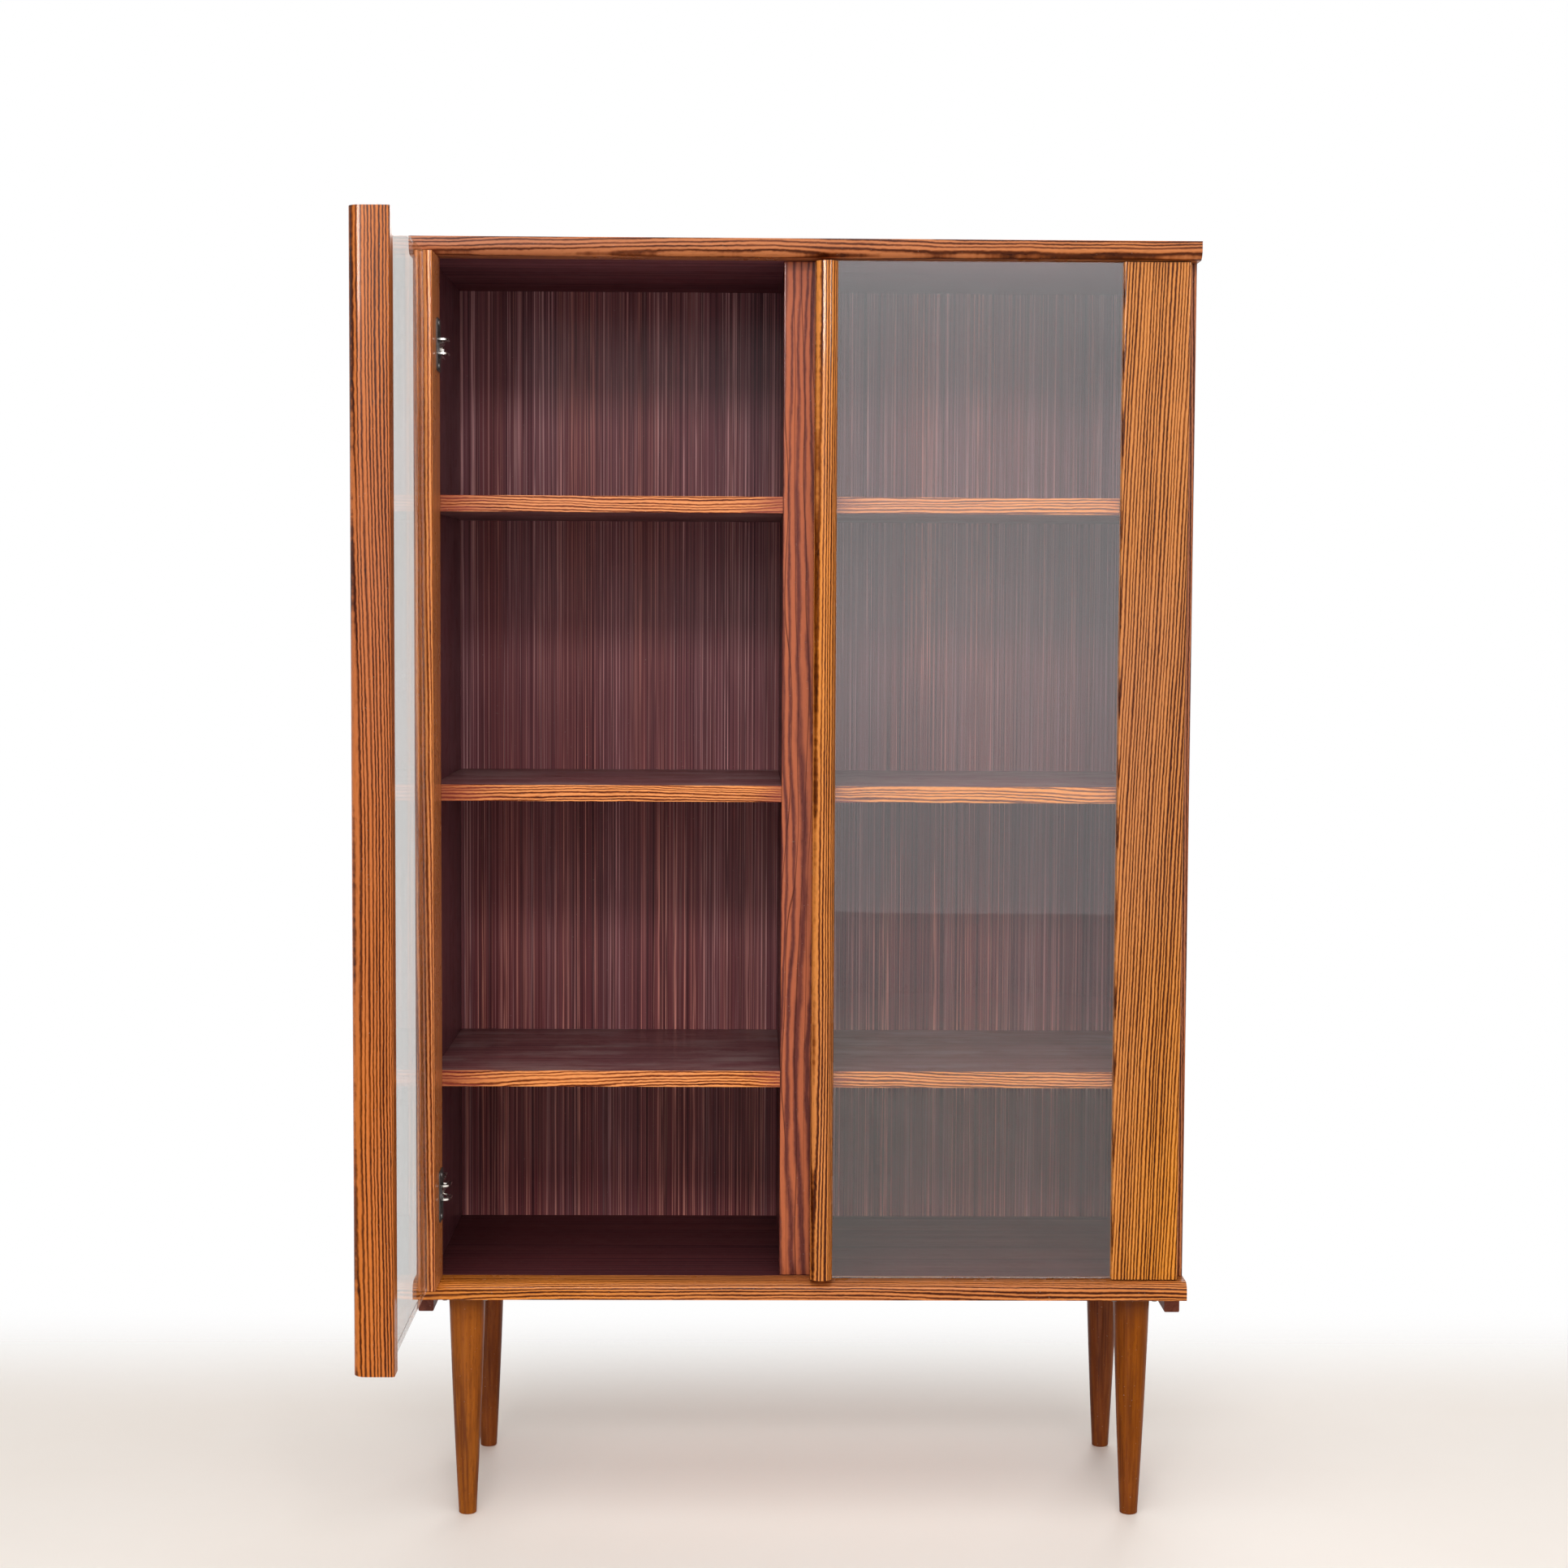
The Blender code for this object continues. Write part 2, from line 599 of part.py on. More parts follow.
def build_door(side, hand, pivot):
    """Hinge stile, glass pane and fin-shaped pull stile."""
    free_edge = HINGE_EDGE_INSET + DOOR_WIDTH
    stile_edge = HINGE_EDGE_INSET + HINGE_STILE_WIDTH
    pull_edge = free_edge - PULL_WIDTH
    glass_front = DOOR_FACE - GLASS_SETBACK
    glass_rear = glass_front - GLASS_THICKNESS
    stile = box(
        side + "_door_hinge_stile",
        door_point(hand, HINGE_EDGE_INSET, DOOR_FACE, DOOR_BOTTOM),
        door_point(hand, stile_edge, DOOR_BACK_GAP, DOOR_TOP), STRIPED, pivot,
        ((2, ALL_CORNERS, STILE_ROUNDING, ROUND_STEPS),),
    )
    pull = box(
        side + "_door_pull_stile",
        door_point(hand, pull_edge, DOOR_BACK_GAP + PULL_DEPTH, DOOR_BOTTOM + PULL_TRIM),
        door_point(hand, free_edge, DOOR_BACK_GAP, DOOR_TOP - PULL_TRIM), STRIPED, pivot,
        (
            (2, ((-1, -1), (1, -1)), (PULL_WIDTH - NOSE_FLAT) / 2, BROAD_STEPS),
            (2, ((-1, 1), (1, 1)), STILE_ROUNDING, ROUND_STEPS),
        ),
    )
    for piece, edge, way in ((stile, stile_edge, -1), (pull, pull_edge, 1)):
        notch(
            piece, "groove",
            door_point(hand, edge + way * GROOVE_DEPTH, glass_front + SEAT_GAP, DOOR_BOTTOM - OVERRUN),
            door_point(hand, edge - way * OVERRUN, glass_rear - SEAT_GAP, DOOR_TOP + OVERRUN), pivot,
        )
    box(
        side + "_door_glass",
        door_point(hand, stile_edge - GROOVE_DEPTH + SEAT_GAP, glass_front, DOOR_BOTTOM),
        door_point(hand, pull_edge + GROOVE_DEPTH - SEAT_GAP, glass_rear, DOOR_TOP), CLEAR_GLASS, pivot,
        ((0, ALL_CORNERS, GLASS_ARRIS, CHAMFER_STEPS),),
    )
    pockets = []
    cup_inset = HALF_WIDTH - PIVOT_X + CUP_OFFSET
    for height in HINGE_HEIGHTS:
        mouth = Vector(door_point(hand, cup_inset, DOOR_BACK_GAP - OVERRUN, height))
        floor = Vector(door_point(hand, cup_inset, DOOR_FACE - CUP_SKIN, height))
        pockets.append((mouth, floor, CUP_RADIUS + SEAT_GAP))
    drill(stile, "cup_pockets", pockets, pivot, FINE)


def build_cups(side, hand, pivot):
    """Flanged hinge cups sunk in the hinge stile, and the pins that cross them."""
    ear_near = ARM_HEIGHT / 2 + SEAT_GAP
    ear_far = ear_near + EAR_THICKNESS
    cup_inset = HALF_WIDTH - PIVOT_X + CUP_OFFSET
    screw_inset = cup_inset + CUP_SCREW_OFFSET
    flange_near = DOOR_BACK_GAP - SEAT_GAP
    flange_far = flange_near - FLANGE_THICKNESS
    bottom = DOOR_FACE - CUP_SKIN - SEAT_GAP
    for label, height in zip(HINGE_NAMES, HINGE_HEIGHTS):
        piece = box(
            side + "_" + label + "_hinge_cup",
            (hand * FLANGE_OUTBOARD, PIVOT_FORWARD - flange_near, height - FLANGE_HEIGHT / 2),
            (-hand * FLANGE_INBOARD, PIVOT_FORWARD - flange_far, height + FLANGE_HEIGHT / 2),
            BRIGHT_STEEL, pivot, ((1, ALL_CORNERS, FLANGE_ROUNDING, ROUND_STEPS),),
        )
        barrel = bmesh.new()
        mouth = door_point(hand, cup_inset, (flange_near + flange_far) / 2, height)
        rod(barrel, mouth, door_point(hand, cup_inset, bottom, height), CUP_RADIUS, FINE)
        combine(piece, "barrel", barrel, pivot, "UNION")
        above = door_point(hand, cup_inset, flange_far - OVERRUN, height)
        floor = door_point(hand, cup_inset, bottom - CUP_WALL, height)
        drill(piece, "bore", [(above, floor, CUP_RADIUS - CUP_WALL)], pivot, FINE)
        notch(
            piece, "trim",
            (hand * FLANGE_OUTBOARD, PIVOT_FORWARD - DOOR_BACK_GAP, height - CUP_RADIUS),
            (hand * (FLANGE_OUTBOARD + OVERRUN), PIVOT_FORWARD + OVERRUN, height + CUP_RADIUS), pivot,
        )
        for end, way in (("lower_ear", -1), ("upper_ear", 1)):
            add_block(
                piece, end,
                (-EAR_HALF_WIDTH, PIVOT_FORWARD - bottom + CUP_WALL / 2, height + way * ear_near),
                (EAR_HALF_WIDTH, EAR_HALF_WIDTH, height + way * ear_far), pivot,
            )
        reach = ear_far + SEAT_GAP
        holes = [((0.0, 0.0, height - reach), (0.0, 0.0, height + reach), HINGE_PIN_RADIUS + RUNNING_GAP)]
        for rise in (-CUP_SCREW_SPREAD / 2, CUP_SCREW_SPREAD / 2):
            start = door_point(hand, screw_inset, flange_far - OVERRUN, height + rise)
            end = door_point(hand, screw_inset, flange_near + OVERRUN, height + rise)
            holes.append((start, end, SMALL_SCREW_RADIUS + SMALL_HOLE_PLAY))
        drill(piece, "holes", holes, pivot)
        pin = bmesh.new()
        rod(pin, (0.0, 0.0, height - ear_far), (0.0, 0.0, height + ear_far), HINGE_PIN_RADIUS)
        mesh = mesh_from(side + "_" + label + "_hinge_pin", pin)
        shade_round(mesh)
        add_piece(side + "_" + label + "_hinge_pin", mesh, BRIGHT_STEEL, pivot)


def arc(centre, radius, start, end, steps):
    """Points of an arc, angles in degrees."""
    angles = [math.radians(value) for value in spread(start, end, steps + 1)]
    return [(centre[0] + radius * math.cos(angle), centre[1] + radius * math.sin(angle)) for angle in angles]


def ribbon(path, widths):
    """The mitred outline of a strip along a path, half a width to each side."""
    ways = [(Vector(after) - Vector(before)).normalized() for before, after in zip(path, path[1:])]
    left = []
    right = []
    for index, point in enumerate(path):
        way_in = ways[max(index - 1, 0)]
        way_out = ways[min(index, len(ways) - 1)]
        middle = (way_in + way_out).normalized()
        mitre = widths[index] / middle.dot(way_out)
        side = Vector((-middle.y, middle.x)) * mitre
        left.append(Vector(point) + side)
        right.append(Vector(point) - side)
    return left + right[::-1]


def arm_outline():
    """The crank seen from above, as distances inward from the hinge axis and forward of it."""
    foot_inward = PIVOT_X - (SIDE_INNER - 2 * SEAT_GAP - PLATE_THICKNESS - FOOT_HEIGHT / 2)
    eye = arc((0.0, 0.0), CHEEK_HALF_WIDTH, 270, 90, BROAD_STEPS)
    path = [(0.0, 0.0)]
    path += arc((NECK_REACH - NECK_BEND, -NECK_BEND), NECK_BEND, 90, 0, BEND_STEPS)
    path += [(NECK_REACH, -NECK_DROP), (foot_inward, -FOOT_START), (foot_inward, -FOOT_START - FOOT_LENGTH)]
    widths = [CHEEK_HALF_WIDTH] * (len(path) - 2) + [FOOT_HEIGHT / 2] * 2
    return ribbon(path, widths) + eye[1:-1]


def arm_mesh(hand):
    """The crank's outline, as thick as the arm is high."""
    curve = bpy.data.curves.new("hinge_arm_outline", "CURVE")
    curve.dimensions = "2D"
    curve.fill_mode = "BOTH"
    curve.extrude = ARM_HEIGHT / 2
    outline = arm_outline()
    spline = curve.splines.new("POLY")
    spline.points.add(len(outline) - 1)
    for point, (inward, forward) in zip(spline.points, outline):
        point.co = (-hand * inward, -forward, 0.0, 1.0)
    spline.use_cyclic_u = True
    source = bpy.data.objects.new("hinge_arm_outline", curve)
    CUTTERS.objects.link(source)
    return evaluated_mesh(source, "hinge_arm")


def arm_screw_mesh():
    """An arm screw that points down, with the underside of its head at height 0."""
    profile = (
        (0.0, ARM_SCREW_HEAD_HEIGHT),
        (ARM_SCREW_CROWN_RADIUS, ARM_SCREW_HEAD_HEIGHT),
        (ARM_SCREW_HEAD_RADIUS, ARM_SCREW_RIM),
        (ARM_SCREW_HEAD_RADIUS, 0.0),
        (ARM_SCREW_RADIUS, 0.0),
        (ARM_SCREW_RADIUS, ARM_SCREW_POINT - ARM_SCREW_LENGTH),
        (0.0, -ARM_SCREW_LENGTH),
    )
    return turned("hinge_arm_screw", profile, COARSE)


def build_hinge_arms(side, hand, case):
    """Cranked arms with two cheeks, on plates on the side panel, each with its screw."""
    arm_solid = arm_mesh(hand)
    screw_solid = arm_screw_mesh()
    plate_face = SIDE_INNER - SEAT_GAP
    web_low = plate_face - PLATE_THICKNESS - SEAT_GAP - WEB_STAND
    web_high = arm_screw_face()
    foot_front = FOOT_START - PIVOT_FORWARD
    plate_front = foot_front - PLATE_LEAD
    foot_rear = foot_front + FOOT_LENGTH + OVERRUN
    crank_front = -PIVOT_FORWARD - CHEEK_HALF_WIDTH - OVERRUN
    crank_inner = PIVOT_X - NECK_REACH - CHEEK_HALF_WIDTH - OVERRUN
    inside = ARM_HEIGHT / 2 - CHEEK_THICKNESS
    for label, height in zip(HINGE_NAMES, HINGE_HEIGHTS):
        axis = (hand * PIVOT_X, -PIVOT_FORWARD)
        name = side + "_" + label
        arm = add_piece(name + "_hinge_arm", arm_solid.copy(), BRIGHT_STEEL, case, (*axis, height))
        low = height - inside
        high = height + inside
        notch(
            arm, "channel",
            (hand * web_high, crank_front, low), (hand * crank_inner, foot_rear, high), case,
        )
        notch(
            arm, "throat",
            (hand * crank_inner, crank_front, low),
            (hand * (PIVOT_X + OVERRUN), foot_front + WEB_LEAD, high), case,
        )
        notch(
            arm, "underside",
            (hand * web_low, foot_front - OVERRUN, low),
            (hand * (plate_face + OVERRUN), foot_rear, high), case,
        )
        bore = HINGE_PIN_RADIUS + RUNNING_GAP
        drill(arm, "pin_hole", [((*axis, height - ARM_HEIGHT), (*axis, height + ARM_HEIGHT), bore)], case)
        seat = Vector((hand * web_high, foot_middle(), height))
        out = Vector((hand, 0.0, 0.0))
        screw_hole = (seat - out * OVERRUN, seat + out * ARM_SCREW_LENGTH, ARM_SCREW_RADIUS + SEAT_GAP)
        drill(arm, "screw_hole", [screw_hole], case)
        screw = add_piece(
            name + "_hinge_arm_screw", screw_solid, BRIGHT_STEEL, case, seat - out * SEAT_GAP,
        )
        screw.rotation_euler = (0.0, -hand * math.radians(90), 0.0)
        plate = box(
            name + "_hinge_plate",
            (hand * plate_face, plate_front, height - PLATE_HEIGHT / 2),
            (hand * (plate_face - PLATE_THICKNESS), plate_front + PLATE_LENGTH, height + PLATE_HEIGHT / 2),
            BRIGHT_STEEL, case, ((0, ALL_CORNERS, PLATE_ROUNDING, ROUND_STEPS),),
        )
        holes = [screw_hole]
        for rise in (-PLATE_SCREW_SPREAD / 2, PLATE_SCREW_SPREAD / 2):
            place = Vector((hand * plate_face, foot_middle(), height + rise))
            holes.append((place - out * OVERRUN, place + out * OVERRUN, SMALL_SCREW_RADIUS + SMALL_HOLE_PLAY))
        drill(plate, "holes", holes, case)


def centre_on_floor(case):
    """Moves the bookcase so that its box, as it stands, is centred on the origin."""
    bpy.context.view_layer.update()
    graph = bpy.context.evaluated_depsgraph_get()
    points = []
    for obj in PARTS.objects:
        if obj.type == "MESH":
            seen = obj.evaluated_get(graph)
            points += [seen.matrix_world @ vertex.co for vertex in seen.data.vertices]
    for axis in (0, 1):
        values = [point[axis] for point in points]
        case.location[axis] = -(min(values) + max(values)) / 2
    bpy.context.view_layer.update()


def build():
    """Builds the whole bookcase."""
    case = add_empty("bookcase")
    build_panels(case)
    build_sides(case)
    build_divider(case)
    build_back(case)
    build_shelves(case)
    build_battens(case)
    build_legs(case)
    for (side, hand), opened in zip(SIDES, (LEFT_DOOR_OPEN, RIGHT_DOOR_OPEN)):
        pivot = add_empty(side + "_door_pivot", case, (hand * PIVOT_X, -PIVOT_FORWARD, 0.0))
        pivot.rotation_euler = (0.0, 0.0, hand * math.radians(opened))
        build_door(side, hand, pivot)
        build_cups(side, hand, pivot)
        build_hinge_arms(side, hand, case)
    centre_on_floor(case)


build()
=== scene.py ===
import json
import math

import bmesh
import bpy
from mathutils import Matrix, Vector

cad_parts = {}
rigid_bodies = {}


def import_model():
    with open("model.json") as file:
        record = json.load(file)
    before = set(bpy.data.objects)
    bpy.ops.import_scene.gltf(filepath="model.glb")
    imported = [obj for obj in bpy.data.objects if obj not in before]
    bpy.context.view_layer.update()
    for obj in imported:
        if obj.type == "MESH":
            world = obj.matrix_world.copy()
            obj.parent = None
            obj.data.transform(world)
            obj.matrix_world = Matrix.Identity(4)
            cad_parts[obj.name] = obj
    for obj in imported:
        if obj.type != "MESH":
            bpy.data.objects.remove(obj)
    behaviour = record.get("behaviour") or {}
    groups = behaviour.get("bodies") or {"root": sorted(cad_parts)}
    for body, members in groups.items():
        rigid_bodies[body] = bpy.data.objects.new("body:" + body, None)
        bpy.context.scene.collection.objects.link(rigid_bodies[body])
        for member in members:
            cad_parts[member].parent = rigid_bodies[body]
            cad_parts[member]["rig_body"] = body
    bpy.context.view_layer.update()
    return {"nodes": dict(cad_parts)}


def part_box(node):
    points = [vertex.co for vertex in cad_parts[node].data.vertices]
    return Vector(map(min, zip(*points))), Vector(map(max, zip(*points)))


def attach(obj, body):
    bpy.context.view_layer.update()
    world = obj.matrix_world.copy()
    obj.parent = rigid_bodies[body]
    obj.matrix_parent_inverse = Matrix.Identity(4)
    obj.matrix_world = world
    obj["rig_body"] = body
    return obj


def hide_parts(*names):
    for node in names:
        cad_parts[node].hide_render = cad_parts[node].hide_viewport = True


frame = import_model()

NODES = frame["nodes"]
SIDES = (("left", -1), ("right", 1))
LEVELS = ("lower", "upper")

# Case levels, read off the frame
CASE_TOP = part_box("top_panel")[1].z
CASE_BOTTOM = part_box("bottom_panel")[0].z
CASE_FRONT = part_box("right_side_panel")[0].y
CASE_MIDDLE = (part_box("right_side_panel")[1].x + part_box("left_side_panel")[0].x) / 2
SIDE_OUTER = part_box("right_side_panel")[1].x - CASE_MIDDLE
SIDE_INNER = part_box("right_side_panel")[0].x - CASE_MIDDLE
BACK_MIDDLE = (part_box("back_panel")[0].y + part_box("back_panel")[1].y) / 2
VENEER = 0.0008       # a face's veneer reaches this deep
END_VENEER = 0.001    # and this deep from the sides
SHELF_SETBACK = 0.0005


def tint(red, green, blue):
    """A colour given as it shows on a screen, 0 to 255, as a shader's colour."""
    made = []
    for value in (red, green, blue):
        share = value / 255
        made.append(share / 12.92 if share <= 0.04045 else ((share + 0.055) / 1.055) ** 2.4)
    return (*made, 1.0)


# ---------------------------------------------------------------- node helpers

def put(tree, kind, inputs=(), **settings):
    """Adds a node, sets it up, and fills or joins its inputs."""
    made = tree.nodes.new(kind)
    for setting, value in settings.items():
        setattr(made, setting, value)
    for key, value in dict(inputs).items():
        socket = made.inputs[key]
        if isinstance(value, bpy.types.NodeSocket):
            tree.links.new(value, socket)
        else:
            socket.default_value = value
    return made


def sum_up(tree, operation, first, second=0.0, third=0.0):
    """A Math node's result."""
    return put(tree, "ShaderNodeMath", {0: first, 1: second, 2: third}, operation=operation).outputs[0]


def fade(tree, value, low, high, smooth=True):
    """Turns a value from low to high into 0 to 1."""
    kind = "SMOOTHSTEP" if smooth else "LINEAR"
    inputs = {"Value": value, "From Min": low, "From Max": high}
    return put(tree, "ShaderNodeMapRange", inputs, interpolation_type=kind, clamp=True).outputs["Result"]


def blend_colours(tree, share, first, second, mode="MIX"):
    """Two colours mixed by a share."""
    made = put(tree, "ShaderNodeMix", {0: share, 6: first, 7: second}, data_type="RGBA", blend_type=mode)
    return made.outputs[2]


def cloud(tree, vector, scale=1.0, detail=2.0, roughness=0.5):
    """Soft noise around 0.5."""
    inputs = {"Vector": vector, "Scale": scale, "Detail": detail, "Roughness": roughness}
    return put(tree, "ShaderNodeTexNoise", inputs).outputs["Fac"]


def spread(tree, value, amount):
    """Noise around 0.5 turned into noise around 0, as wide as the amount."""
    return sum_up(tree, "MULTIPLY", sum_up(tree, "SUBTRACT", value, 0.5), amount)


def stretch(tree, vector, across, depth, along):
    """The coordinates scaled by one number an axis."""
    inputs = {0: vector, 1: (across, depth, along)}
    return put(tree, "ShaderNodeVectorMath", inputs, operation="MULTIPLY").outputs[0]


def one_axis(tree, vector, axis):
    """One axis of a vector, by its letter."""
    return put(tree, "ShaderNodeSeparateXYZ", {0: vector}).outputs["XYZ".index(axis)]


def new_group(name, ins, outs):
    """An empty shader node group, with its input and output nodes."""
    group = bpy.data.node_groups.new(name, "ShaderNodeTree")
    for label, kind, default in ins:
        socket = group.interface.new_socket(label, in_out="INPUT", socket_type=kind)
        if default is not None:
            socket.default_value = default
    for label, kind in outs:
        group.interface.new_socket(label, in_out="OUTPUT", socket_type=kind)
    return group, group.nodes.new("NodeGroupInput").outputs, group.nodes.new("NodeGroupOutput")


def place_group(tree, group, inputs):
    """Places a group with its own values and gives its outputs."""
    made = tree.nodes.new("ShaderNodeGroup")
    made.node_tree = group
    for key, value in inputs.items():
        if isinstance(value, bpy.types.NodeSocket):
            tree.links.new(value, made.inputs[key])
        else:
            made.inputs[key].default_value = value
    return made.outputs


# ---------------------------------------------------------------- shared effects

COLOUR, NUMBER, ARROW = "NodeSocketColor", "NodeSocketFloat", "NodeSocketVector"


def make_zebra_figure():
    """Striped wood: wavy lines from pale to dark, with short dark ticks. Z runs with the grain."""
    group, given, out = new_group(
        "zebra_figure",
        (
            ("Vector", ARROW, None), ("Lines per Metre", NUMBER, 250.0), ("Waver", NUMBER, 0.004),
            ("Slant", NUMBER, 0.01), ("Pale", COLOUR, tint(240, 165, 90)), ("Middle", COLOUR, tint(190, 110, 50)),
            ("Line", COLOUR, tint(128, 58, 14)), ("Ticks", NUMBER, 0.8),
        ),
        (("Color", COLOUR), ("Relief", NUMBER)),
    )
    parts = put(group, "ShaderNodeSeparateXYZ", {0: given["Vector"]}).outputs
    across = sum_up(group, "MULTIPLY_ADD", parts[1], 0.83, parts[0])
    flat = put(group, "ShaderNodeCombineXYZ", {0: across, 1: parts[1], 2: parts[2]}).outputs[0]
    # the lines drift together, each one shivers, and their edges are a little jagged
    drift = spread(group, cloud(group, stretch(group, flat, 11.0, 2.0, 1.7), detail=1.0), 3.2)
    shiver = spread(group, cloud(group, stretch(group, flat, 60.0, 8.0, 14.0), detail=2.0), 0.5)
    jag = spread(group, cloud(group, stretch(group, flat, 260.0, 20.0, 150.0), detail=1.0), 0.0011)
    push = sum_up(group, "MULTIPLY_ADD", sum_up(group, "ADD", drift, shiver), given["Waver"], jag)
    slope = sum_up(group, "MULTIPLY_ADD", parts[2], given["Slant"], push)
    counted = sum_up(group, "MULTIPLY", sum_up(group, "ADD", across, slope), given["Lines per Metre"])
    grid = put(group, "ShaderNodeCombineXYZ", {0: counted, 1: 0.0, 2: parts[2]}).outputs[0]
    loose = cloud(group, stretch(group, grid, 0.31, 1.0, 0.9), detail=1.0)
    turn = sum_up(group, "MULTIPLY_ADD", counted, 2 * math.pi, sum_up(group, "MULTIPLY", loose, 12.0))
    ragged = spread(group, cloud(group, stretch(group, grid, 0.9, 1.0, 9.0), detail=4.0, roughness=0.62), 2.3)
    height = sum_up(group, "ADD", sum_up(group, "SINE", turn), ragged)
    band = fade(group, cloud(group, stretch(group, grid, 0.16, 1.0, 0.5), detail=2.0), 0.34, 0.66)
    height = sum_up(group, "MULTIPLY_ADD", band, -0.5, sum_up(group, "ADD", height, 0.45))
    lit = fade(group, height, -0.35, 1.05)
    lines = sum_up(group, "SUBTRACT", 1.0, fade(group, height, -1.0, 0.12))
    shown = blend_colours(group, lit, given["Middle"], given["Pale"])
    shown = blend_colours(group, lines, shown, given["Line"])
    # ticks: short dark dashes, most of them in the dark lines
    tick = fade(group, cloud(group, stretch(group, flat, 1100.0, 300.0, 95.0), detail=1.0), 0.56, 0.68)
    tick = sum_up(group, "MULTIPLY", tick, sum_up(group, "MULTIPLY_ADD", lines, 0.8, 0.2))
    tick = sum_up(group, "MULTIPLY", tick, given["Ticks"])
    deep = blend_colours(group, 1.0, given["Line"], (0.30, 0.22, 0.16, 1.0), "MULTIPLY")
    shown = blend_colours(group, tick, shown, deep)
    relief = sum_up(group, "MULTIPLY_ADD", lines, -0.35, sum_up(group, "MULTIPLY", tick, -0.65))
    group.links.new(shown, out.inputs["Color"])
    group.links.new(relief, out.inputs["Relief"])
    return group


def make_fine_streaks():
    """Fine straight streaks of light in a dark veneer. Z runs with the grain."""
    group, given, out = new_group(
        "fine_streaks",
        (
            ("Vector", ARROW, None), ("Ground", COLOUR, tint(84, 50, 52)), ("Streak", COLOUR, tint(134, 88, 84)),
            ("Shade", COLOUR, tint(60, 32, 38)), ("Streak Share", NUMBER, 0.5), ("Fineness", NUMBER, 1.0),
        ),
        (("Color", COLOUR), ("Relief", NUMBER)),
    )
    parts = put(group, "ShaderNodeSeparateXYZ", {0: given["Vector"]}).outputs
    across = sum_up(group, "MULTIPLY", sum_up(group, "MULTIPLY_ADD", parts[1], 0.7, parts[0]), given["Fineness"])
    flat = put(group, "ShaderNodeCombineXYZ", {0: across, 1: 0.0, 2: parts[2]}).outputs[0]
    thread = fade(group, cloud(group, stretch(group, flat, 500.0, 1.0, 1.1), detail=1.0, roughness=0.6), 0.52, 0.68)
    wide = fade(group, cloud(group, stretch(group, flat, 60.0, 1.0, 0.7), detail=2.0), 0.44, 0.76)
    dark = fade(group, cloud(group, stretch(group, flat, 420.0, 1.0, 0.9), detail=2.0, roughness=0.6), 0.40, 0.66)
    broken = fade(group, cloud(group, stretch(group, flat, 500.0, 1.0, 9.0), detail=1.0), 0.24, 0.60)
    light = sum_up(group, "MULTIPLY", sum_up(group, "MULTIPLY_ADD", wide, 0.10, thread), broken)
    light = sum_up(group, "MULTIPLY", light, given["Streak Share"])
    ground = blend_colours(group, dark, given["Ground"], given["Shade"])
    shown = blend_colours(group, sum_up(group, "MINIMUM", light, 1.0), ground, given["Streak"])
    group.links.new(shown, out.inputs["Color"])
    group.links.new(sum_up(group, "SUBTRACT", sum_up(group, "MULTIPLY", thread, 0.4), dark), out.inputs["Relief"])
    return group


def make_plain_grain():
    """Close-grained stained wood: soft clouds, faint flecks and short rays. Z runs with the grain."""
    group, given, out = new_group(
        "plain_grain",
        (
            ("Vector", ARROW, None), ("Ground", COLOUR, tint(128, 68, 26)), ("Dark", COLOUR, tint(92, 44, 14)),
            ("Light", COLOUR, tint(156, 92, 34)),
        ),
        (("Color", COLOUR), ("Relief", NUMBER)),
    )
    vector = given["Vector"]
    soft = fade(group, cloud(group, stretch(group, vector, 38.0, 38.0, 6.0), detail=3.0), 0.34, 0.68)
    thin = fade(group, cloud(group, stretch(group, vector, 330.0, 330.0, 7.0), detail=2.0), 0.40, 0.66)
    ray = fade(group, cloud(group, stretch(group, vector, 800.0, 800.0, 120.0), detail=0.0), 0.60, 0.74)
    ground = blend_colours(group, soft, given["Ground"], given["Dark"])
    ground = blend_colours(group, sum_up(group, "MULTIPLY", thin, 0.42), ground, given["Light"])
    shown = blend_colours(group, sum_up(group, "MULTIPLY", ray, 0.35), ground, given["Dark"])
    group.links.new(shown, out.inputs["Color"])
    relief = sum_up(group, "MULTIPLY_ADD", thin, 0.5, sum_up(group, "MULTIPLY", ray, -0.5))
    group.links.new(relief, out.inputs["Relief"])
    return group


